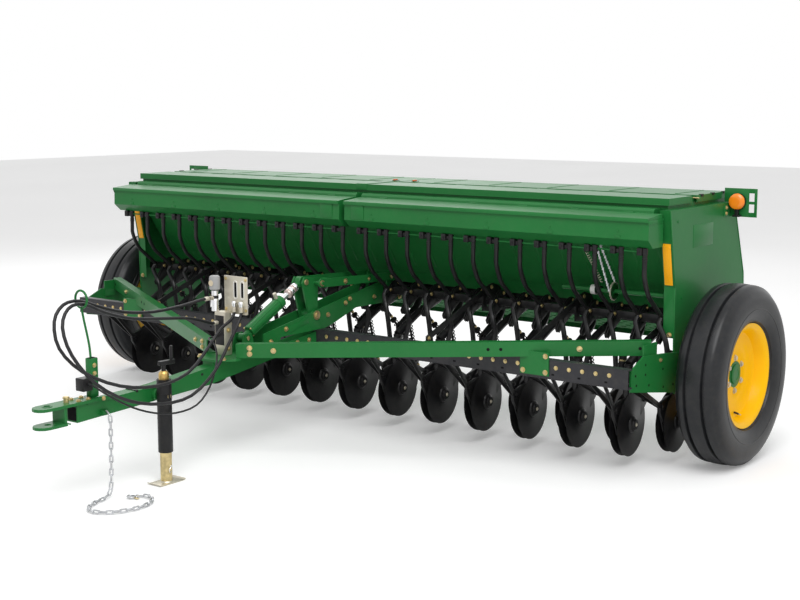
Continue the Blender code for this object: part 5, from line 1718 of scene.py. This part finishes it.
@dataclass
class Tongue:
    """Tongue beam, clevis and the upper beam with their bolts and blank places."""

    saddle_z: float = 0.5637
    half: float = 0.038

    def build(self) -> None:
        """Dress the sheets, then add the hitch's strap and every bolt."""
        MACHINE.dress(GREEN_PAINT, "tongue_beam", "upper_beam", "hitch_clevis")
        self._beam_trim()
        self._hitch_trim()
        self._upper_trim()

    def _beam_trim(self) -> None:
        """Saddle bolts, welds, cable clips and the cross pins of the tongue."""
        shape = Shape(GREEN_PAINT, GOLD_ZINC, BLACK_PAINT)
        top = self.saddle_z
        for sign in (1, -1):
            for y in (-1.640, -1.480, -1.330, -1.225):
                shape.bolt((sign * 0.085, y, top), (0, 0, 1), 0.0125, 1, 0.009)
            shape.box(
                (sign * 0.0385 - 0.0015, sign * 0.0385 + 0.0015), (-1.66, -1.21), (0.5495, 0.5535), 0
            )
            for y in (-1.000, -0.900):
                shape.bolt((sign * self.half, y, 0.560), (sign, 0, 0), 0.0105, 1)
        shape.rod((-0.0440, -1.400, 0.640), (0.0440, -1.400, 0.640), 0.0108, 1, 20, bevel=0.0015)
        for sign in (1, -1):
            shape.rod((sign * 0.0405, -1.400, 0.627), (sign * 0.0405, -1.400, 0.653), 0.0018, 1, 8)
        for y in (-2.20, -1.95, -1.75):
            z = 0.479 + (y + 2.58) * 0.024
            shape.box((-0.0395, 0.0395), (y - 0.008, y + 0.008), (z - 0.008, z + 0.0045), 2)
        shape.rod((0.0375, -2.077, 0.450), (0.0605, -2.077, 0.450), 0.0295, 0, 28, bevel=0.001)
        shape.finish("tongue_bolts", "frame", slot="zinc_plate")

    def _hitch_trim(self) -> None:
        """The clevis's bolts and bent lower strap, the pin's stub, the curved side guard and a dark sheet of painted
        shade in the clevis's opening.
        """
        shape = Shape(GREEN_PAINT, GOLD_ZINC, SHADOW, BLACK_PAINT)
        for y in (-2.560, -2.500):
            for x in (-0.027, 0.027):
                shape.bolt((x, y, 0.4975), (0, 0, 1), 0.0105, 1, 0.007)
        shape.turned(
            [(0.0, 0.0), (0.0, 0.013), (0.018, 0.013), (0.020, 0.0165), (0.026, 0.0165), (0.029, 0.013), (0.029, 0.0)],
            (0.0, -2.612, 0.4975), (0, 0, 1), 1, 20,
        )
        for z, way in ((0.4978, 1), (0.3957, -1)):
            ring = [(0.0, 0.0172), (0.0, 0.0255), (0.0022, 0.0245), (0.0022, 0.0172)]
            shape.turned(ring, (0.0, -2.725, z), (0, 0, way), 0, 28)
        # Painted shade: a dark sheet across the clevis's opening.
        shape.box((-0.0295, 0.0295), (-2.5815, -2.5775), (0.4035, 0.4715), 2, 0)
        curve = [(-2.520, 0.486), (-2.440, 0.492), (-2.360, 0.484), (-2.300, 0.455)]
        for (y0, z0), (y1, z1) in zip(curve, curve[1:]):
            shape.bar((0.0415, y0, z0), (0.0415, y1, z1), 0.006, 0.020, 0)
        shape.bolt((0.0445, -2.420, 0.490), (1, 0, 0), 0.0085, 1, 0.005)
        loop = arc((-2.600, 0.4405), 0.047, 100, 260, 14)
        for (y0, z0), (y1, z1) in zip(loop, loop[1:]):
            if y0 > -2.63:
                shape.bar((0.0, y0, z0), (0.0, y1, z1), 0.050, 0.006, 0, bevel=0)
        shape.finish("hitch_trim", "frame", slot="green_paint")

    def _upper_trim(self) -> None:
        """Bolts, the crank pin's washers and a blank plate on the upper beam."""
        shape = Shape(GREEN_PAINT, GOLD_ZINC, BLACK_PAINT)
        for sign in (1, -1):
            face = sign * 0.062
            for y, z in ((-1.245, 0.600), (-1.120, 0.655), (-0.760, 0.690), (-0.600, 0.740),
                         (-0.560, 0.760), (-0.330, 0.745), (-0.080, 0.716), (0.050, 0.716)):
                shape.bolt((face, y, z), (sign, 0, 0), 0.0110, 1)
            shape.turned(
                [(0.0, 0.0), (0.0, 0.027), (0.006, 0.027), (0.008, 0.017), (0.014, 0.0165), (0.015, 0.0)],
                (face, -0.860, 0.700), (sign, 0, 0), 1, 24,
            )
            low, high = sorted((face - sign * 0.001, face + sign * 0.0015))
            shape.bar(
                ((low + high) / 2, -1.100, 0.645), ((low + high) / 2, -0.930, 0.682),
                high - low, 0.036, 0, bevel=0.0006,
            )
        shape.finish("upper_beam_bolts", "frame", slot="zinc_plate")


@dataclass
class Lift:
    """The lift cylinder, its stop rings and rod, the bellcrank and the links."""

    foot: Triple = (0.0, -1.400, 0.640)
    eye: Triple = (0.0, -0.925, 0.895)
    crank: Pair = (-0.860, 0.700)
    link: Pair = (-0.850, 0.885)

    def build(self) -> None:
        """Make each moving piece of the lift."""
        MACHINE.dress(GREEN_PAINT, "bellcrank", "lift_links")
        self._barrel()
        self._rod()
        self._crank_trim()
        self._link_trim()

    @property
    def way(self) -> Vector:
        """Direction from the foot pin to the rod's eye."""
        return (Vector(self.eye) - Vector(self.foot)).normalized()

    @property
    def length(self) -> float:
        """Length from pin to pin."""
        return (Vector(self.eye) - Vector(self.foot)).length

    def _barrel(self) -> None:
        """Green barrel with end caps, tie bars, port and foot eye."""
        foot, way, length = Vector(self.foot), self.way, self.length
        shape = Shape(GREEN_PAINT, GOLD_ZINC, PALE_ZINC, HOSE_RUBBER)
        bore = 0.0162
        end = length - 0.1855
        profile = [
            (0.050, 0.0), (0.050, 0.0300), (0.053, 0.0335), (0.070, 0.0335), (0.072, 0.0310),
            (end - 0.040, 0.0310), (end - 0.038, 0.0355), (end - 0.003, 0.0355), (end, 0.0325),
            (end, bore), (0.205, bore), (0.205, 0.0),
        ]
        shape.turned(profile, foot, way, 0, 32)
        shape.rod(foot + way * 0.010, foot + way * 0.062, 0.0175, 0, 24)
        ring = [(-0.0235, 0.0121), (-0.0235, 0.0230), (-0.0215, 0.0238), (0.0215, 0.0238), (0.0235, 0.0230), (0.0235, 0.0121)]
        shape.turned(ring, foot, (1, 0, 0), 0, 32)
        side = way.cross(Vector((1, 0, 0))).normalized()
        for across, lift in ((1, 1), (1, -1), (-1, 1), (-1, -1)):
            off = Vector((across * 0.0225, 0, 0)) + side * lift * 0.0225
            shape.rod(foot + way * 0.056 + off, foot + way * (end - 0.006) + off, 0.0035, 0, 8)
            shape.rod(foot + way * 0.050 + off, foot + way * 0.056 + off, 0.0060, 1, 6)
        port = foot + way * (length - 0.215)
        tip = port + Vector((0, -0.03, 0.060))
        out = (tip - port).normalized()
        shape.rod(port + out * 0.02, tip, 0.0108, 2, 18)
        shape.rod(tip - out * 0.018, tip - out * 0.004, 0.0112, 2, 6)
        shape.finish("lift_cylinder", "lift_barrel", ("lift_barrel",), "green_paint")

    def _rod(self) -> None:
        """Chrome rod, stacked stop rings and the fork eye."""
        foot, eye, way, length = Vector(self.foot), Vector(self.eye), self.way, self.length
        shape = Shape(CHROME, STOP_RING, GREEN_PAINT, GOLD_ZINC)
        shape.rod(foot + way * 0.262, eye - way * 0.024, 0.0149, 0, 32)
        for k in range(4):
            start = length - 0.1245 + k * 0.0187
            ring = [(start, 0.0150), (start, 0.0250), (start + 0.0015, 0.0258), (start + 0.0165, 0.0258), (start + 0.0180, 0.0250), (start + 0.0180, 0.0150)]
            shape.turned(ring, foot, way, 0 if k % 2 else 1, 28)
        ring = [(-0.0195, 0.0182), (-0.0195, 0.0300), (-0.0175, 0.0315), (0.0175, 0.0315), (0.0195, 0.0300), (0.0195, 0.0182)]
        shape.turned(ring, eye, (1, 0, 0), 2, 36)
        shape.rod(eye - way * 0.052, eye - way * 0.0225, 0.0185, 2, 6)
        shape.finish("lift_rod_stops", "lift_rod", ("lift_rod",), "chrome")

    def _crank_trim(self) -> None:
        """Pin heads and clips on the bellcrank's cheeks."""
        shape = Shape(GOLD_ZINC, GREEN_PAINT)
        eye = Vector(self.eye)
        for sign in (1, -1):
            shape.rod(
                (sign * 0.040, eye.y, eye.z), (sign * 0.050, eye.y, eye.z), 0.0165, 0, 24, bevel=0.002
            )
            shape.rod((sign * 0.047, eye.y, eye.z - 0.017), (sign * 0.047, eye.y, eye.z + 0.017), 0.0018, 0, 8)
            shape.turned(
                [(0.0, 0.0103), (0.0, 0.018), (0.004, 0.018), (0.005, 0.0103)],
                (sign * 0.098, *self.link), (sign, 0, 0), 0, 20,
            )
            shape.turned(
                [(0.0, 0.0152), (0.0, 0.024), (0.007, 0.023), (0.007, 0.0152)],
                (sign * 0.0425, *self.crank), (sign, 0, 0), 0, 24,
            )
        shape.finish("crank_pins", "bellcrank", slot="zinc_plate")

    def _link_trim(self) -> None:
        """Washers and spacer nuts of the two flat links."""
        shape = Shape(GOLD_ZINC, GREEN_PAINT)
        for sign in (1, -1):
            shape.bolt((sign * 0.0965, -0.640, 0.876), (sign, 0, 0), 0.0120, 0, 0.006)
            shape.bolt((sign * 0.0965, -0.420, 0.867), (sign, 0, 0), 0.0085, 0, 0.004)
        shape.finish("link_bolts", "lift_links", slot="zinc_plate")


@dataclass
class HoseStand:
    """The post and plate that park the hose ends, the valve, and the ring that lifts the hoses."""

    plate_y: float = -1.503
    parked: tuple[float, float] = (0.055, 0.105)

    def build(self) -> None:
        """Make the mast, the valve and the hose holder."""
        self._mast()
        self._valve()
        self._holder()

    def _mast(self) -> None:
        """Post with its connector box, and the pale plate with two rimmed slots, whose openings are dark fills of
        painted shade.
        """
        shape = Shape(PALE_ZINC, BLACK_PAINT, WHITE_RIM, SHADOW, CHROME, GREEN_PAINT, GOLD_ZINC)
        shape.box((-0.055, 0.018), (-1.558, -1.502), (0.564, 0.800), 0, 0.003)
        shape.box((-0.030, 0.140), (-1.506, -1.5005), (0.790, 0.992), 0, 0.002)
        shape.box((-0.030, 0.140), (-1.516, -1.5005), (0.790, 0.794), 0, 0.001)
        shape.box((-0.050, 0.014), (-1.5605, -1.556), (0.620, 0.780), 1, 0.002)
        for x in self.parked:
            slot = [*arc((x, 0.955), 0.0115, 0, 180, 10), *arc((x, 0.882), 0.0115, 180, 360, 10)]
            shape.tube([(a, -1.5075, b) for a, b in slot], 0.0024, 2, 2, closed=True)
            # Painted shade: a dark fill in each slot's opening.
            shape.box((x - 0.0105, x + 0.0105), (-1.5072, -1.4995), (0.878, 0.959), 3, 0.004)
            coupler = [
                (0.0, 0.0), (0.0, 0.0105), (0.004, 0.0125), (0.012, 0.0125), (0.014, 0.0138),
                (0.024, 0.0138), (0.026, 0.0118), (0.031, 0.0108), (0.032, 0.0),
            ]
            shape.turned(coupler, (x, -1.519, 0.8300), (0, 0, 1), 4, 24)
            shape.box((x - 0.010, x + 0.010), (-1.519, -1.503), (0.836, 0.850), 0, 0.001)
        for x, z in ((-0.018, 0.812), (0.128, 0.812), (-0.018, 0.975), (0.128, 0.975)):
            shape.bolt((x, -1.506, z), (0, -1, 0), 0.0070, 6, 0.003)
        for z in (0.600, 0.700):
            shape.bolt((0.018, -1.530, z), (1, 0, 0), 0.0100, 6)
        shape.finish("mast_plate", "frame", ("mast",), "zinc_plate")

    def _valve(self) -> None:
        """Silver cylinder with a dark band, a grey cap with a beige disc, and its port."""
        y = -1.545
        shape = Shape(CHROME, GREY_PLASTIC, BEIGE, BLACK_PAINT, PALE_ZINC)
        shape.turned(
            [(0.0, 0.0), (0.0, 0.0190), (0.060, 0.0195), (0.062, 0.0180), (0.110, 0.0180), (0.112, 0.0), ],
            (-0.062, y, 0.8003), (0, 0, 1), 0, 32,
        )
        shape.turned(
            [(0.0, 0.0181), (0.0, 0.0199), (0.016, 0.0199), (0.016, 0.0181)],
            (-0.062, y, 0.868), (0, 0, 1), 3, 32,
        )
        cap = [(0.0, 0.0), (0.0, 0.0250), (0.004, 0.0285), (0.060, 0.0295), (0.070, 0.0275), (0.0755, 0.021), (0.0765, 0.0)]
        shape.turned(cap, (-0.062, y, 0.9152), (0, 0, 1), 1, 36)
        disc = [(0.0, 0.0), (0.0, 0.0165), (0.0012, 0.0160), (0.0012, 0.0)]
        shape.turned(disc, (-0.062, y - 0.0285, 0.952), (0, -1, 0), 2, 28)
        shape.rod((-0.062, y, 0.872), (-0.062, -1.588, 0.872), 0.0110, 4, 20)
        shape.rod((-0.062, -1.572, 0.872), (-0.062, -1.588, 0.872), 0.0118, 4, 6)
        shape.finish("valve_cylinder", "frame", ("remote_valve",), "zinc_plate")

    def _holder(self) -> None:
        """Green post, bent rod with its ring, the black junction box, and a dark sheet of painted shade on the post's
        open top.
        """
        shape = Shape(GREEN_PAINT, BLACK_PAINT, GOLD_ZINC)
        shape.box((-0.019, 0.019), (-2.474, -2.426), (0.498, 0.690), 0, 0.004)
        # Painted shade: a dark sheet inside the post's open top, round the rod.
        shape.box((-0.016, 0.016), (-2.471, -2.429), (0.6895, 0.6900), 1, 0)
        stem = smooth_path([(0, -2.452, 0.660), (0, -2.459, 0.740), (0, -2.470, 0.800), (0, -2.488, 0.880), (0, -2.500, 0.942)], 6)
        shape.tube(stem, 0.0058, 0, 3)
        ring = [(x, -2.500, z) for x, z in arc((0, 0.982), 0.042, 275, -75, 36)]
        shape.tube(ring, 0.0058, 0, 3)
        shape.box((-0.0295, 0.0295), (-2.5295, -2.4705), (0.536, 0.5995), 1, 0.004)
        shape.box((-0.022, 0.022), (-2.5298, -2.525), (0.548, 0.588), 1, 0.002)
        shape.bolt((0.019, -2.450, 0.655), (1, 0, 0), 0.0085, 2, 0.006)
        shape.bolt((0.019, -2.450, 0.615), (1, 0, 0), 0.0085, 2, 0.006)
        shape.turned([(0.0, 0.0), (0.0, 0.0085), (0.008, 0.0070), (0.0095, 0.0053), (0.0095, 0.0)], (0.0293, -2.500, 0.570), (1, 0, 0), 1, 16)
        shape.finish("hose_ring", "frame", ("hose_holder",), "green_paint")


@dataclass
class Jack:
    """The screw jack at the side of the tongue."""

    x: float = 0.100
    y: float = -2.077
    tube_low: float = 0.160
    tube_high: float = 0.535

    def build(self) -> None:
        """Make the swinging tube with its head, and the sliding leg."""
        self._tube()
        self._leg()

    def _tube(self) -> None:
        """Black tube with brass cap, crank head and swivel flange."""
        x, y = self.x, self.y
        high = self.tube_high
        shape = Shape(BLACK_PAINT, BRASS, PALE_ZINC, GOLD_ZINC)
        low = self.tube_low
        outer = [
            (low, 0.0312), (low, 0.0370), (low + 0.002, 0.0377), (high - 0.020, 0.0377),
            (high - 0.018, 0.0368), (high, 0.0368), (high, 0.0), (high - 0.010, 0.0), (high - 0.010, 0.0312),
        ]
        shape.turned(outer, (x, y, 0), (0, 0, 1), 0, 40)
        cap = [(0.0, 0.0), (0.0, 0.0262), (0.028, 0.0262), (0.036, 0.0225), (0.043, 0.014), (0.043, 0.0)]
        shape.turned(cap, (x, y, high), (0, 0, 1), 1, 32)
        shape.rod((x, y, high + 0.040), (x, y, high + 0.078), 0.0115, 0, 20)
        shape.box((x - 0.0135, x + 0.0135), (y - 0.029, y + 0.069), (high + 0.071, high + 0.094), 0, 0.004)
        grip = [(0.0, 0.0), (0.0, 0.0062), (0.010, 0.0085), (0.060, 0.0097), (0.072, 0.0080), (0.0745, 0.004), (0.0745, 0.0)]
        shape.turned(grip, (x, y + 0.055, high + 0.090), (0, 0, 1), 0, 20)
        shape.turned(
            [(0.0, 0.0381), (0.0, 0.0383), (0.030, 0.0383), (0.030, 0.0375)], (x, y, 0.435), (0, 0, 1), 0, 40
        )
        shape.rod((x + 0.030, y, 0.450), (x + 0.0375, y, 0.450), 0.0120, 3, 18)
        shape.finish("jack_body", "jack_tube", ("jack_tube",), "black_paint")

    def _leg(self) -> None:
        """Yellowish leg with its foot plate, whose ends turn up, and the hairpin."""
        x, y = self.x, self.y
        shape = Shape(GOLD_ZINC, PALE_ZINC, CHROME)
        leg = [(0.004, 0.0), (0.004, 0.0298), (0.350, 0.0298), (0.358, 0.0285), (0.358, 0.0)]
        shape.turned(leg, (x, y, 0), (0, 0, 1), 0, 36)
        shape.box((x - 0.047, x + 0.047), (y - 0.078, y + 0.078), (0.0, 0.0055), 1, 0.001)
        for sign in (1, -1):
            shape.bar(
                (x, y + sign * 0.076, 0.0028), (x, y + sign * 0.0885, 0.0095), 0.094, 0.005, 1
            )
        weld = [(0.0, 0.0), (0.0, 0.0345), (0.006, 0.0300), (0.006, 0.0)]
        shape.turned(weld, (x, y, 0.0052), (0, 0, 1), 1, 28)
        shape.rod((x - 0.037, y, 0.090), (x + 0.037, y, 0.090), 0.0050, 2, 14)
        pin = [(x + 0.035, y, 0.090), (x + 0.040, y - 0.006, 0.086), (x + 0.040, y - 0.016, 0.074), (x + 0.038, y - 0.010, 0.058), (x + 0.034, y + 0.002, 0.066)]
        shape.tube(smooth_path(pin, 5), 0.0018, 2, 2)
        shape.finish("jack_foot", "jack_leg", ("jack_leg",), "zinc_plate")


@dataclass
class Lamps:
    """Amber warning lamps on windowed brackets at the box's rear corners."""

    y: Pair = (0.330, 0.334)
    panel_x: float = 2.0303
    lamp_z: float = 1.369

    def build(self) -> None:
        """Make both lamps with their brackets."""
        for side in Side:
            self._lamp(side)

    def _lamp(self, side: Side) -> None:
        """One bracket with two windows and a faceted lamp in a dark housing."""
        sign = side.value
        shape = Shape(GREEN_PAINT, AMBER, BLACK_PAINT, GOLD_ZINC)

        def block(x: Pair, y: Pair, z: Pair, finish: int = 0, bevel: float = 0.0008) -> None:
            low, high = sorted((sign * x[0], sign * x[1]))
            shape.box((low, high), y, z, finish, bevel)

        x0 = self.panel_x
        edge = x0 + 0.154
        left, right = x0 + 0.108, x0 + 0.138
        block((1.996, left), self.y, (1.3623, 1.440))
        block((x0, left), self.y, (1.285, 1.364))
        block((right, edge), self.y, (1.285, 1.440))
        for low, high in ((1.285, 1.310), (1.355, 1.370), (1.415, 1.440)):
            block((left - 0.001, right + 0.001), self.y, (low, high), 0, 0.0)
        block((x0, x0 + 0.004), (0.250, 0.333), (1.290, 1.350))
        block((x0 + 0.028, x0 + 0.068), (0.296, 0.331), (1.286, 1.296), 2)
        block((x0 + 0.038, x0 + 0.058), (0.302, 0.322), (1.290, 1.330), 2)
        centre = sign * (x0 + 0.048)
        for way, start in ((-1, self.y[0]), (1, self.y[1])):
            deep = 0.045 if way < 0 else 0.035
            body = [(0.0, 0.0), (0.0, 0.0440), (deep * 0.35, 0.0455), (deep * 0.42, 0.0455), (deep * 0.42, 0.0)]
            shape.turned(body, (centre, start, self.lamp_z), (0, way, 0), 2, 40)
            lens = [(deep * 0.40, 0.0), (deep * 0.40, 0.0438)]
            for k in range(5):
                out = deep * (0.46 + 0.10 * k)
                lens += [(out, 0.0438 - k * 0.0010), (out + deep * 0.05, 0.0425 - k * 0.0016)]
            lens += [(deep * 0.97, 0.030), (deep * 0.985, 0.018), (deep * 0.99, 0.0)]
            shape.turned(lens, (centre, start, self.lamp_z), (0, way, 0), 1, 36)
            for k in range(12):
                turn = math.radians(30 * k)
                rib = (centre + 0.033 * math.cos(turn), start + way * deep * 0.90, self.lamp_z + 0.033 * math.sin(turn))
                hub = (centre + 0.010 * math.cos(turn), start + way * deep * 0.965, self.lamp_z + 0.010 * math.sin(turn))
                shape.rod(rib, hub, 0.0016, 1, 6)
        for z in (1.305, 1.335):
            shape.bolt((sign * (x0 + 0.004), 0.275, z), (sign, 0, 0), 0.0085, 3, 0.005)
        word = side.word
        shape.finish(f"warning_lamp_{word}", "frame", (f"lamp_{word}",), "amber_lens")


def write_sizes() -> None:
    """Import json only; nothing is written."""
    import json


def main() -> None:
    """Build the stage, the cords and then every sub-assembly, and report each piece."""
    logging.basicConfig(level=logging.INFO, format="%(message)s")
    for item in list(bpy.data.objects):
        bpy.data.objects.remove(item, do_unlink=True)
    MACHINE.load()
    Stage().build()
    for cord in (HOSE_1, HOSE_2, LIGHT_CABLE):
        cord.hose()
    SAFETY_CHAIN.chain()
    for side in Side:
        Wheel(side).build()
    for assembly in (
        GrainBox(), FrontBox(), SeedTubes(), OpenerRows(), Rockshaft(), MainFrame(), Drive(),
        Tongue(), Lift(), HoseStand(), Jack(), Lamps(),
    ):
        assembly.build()
        LOG.info("built %s", type(assembly).__name__)
    write_sizes()


if __name__ == "__main__":
    main()
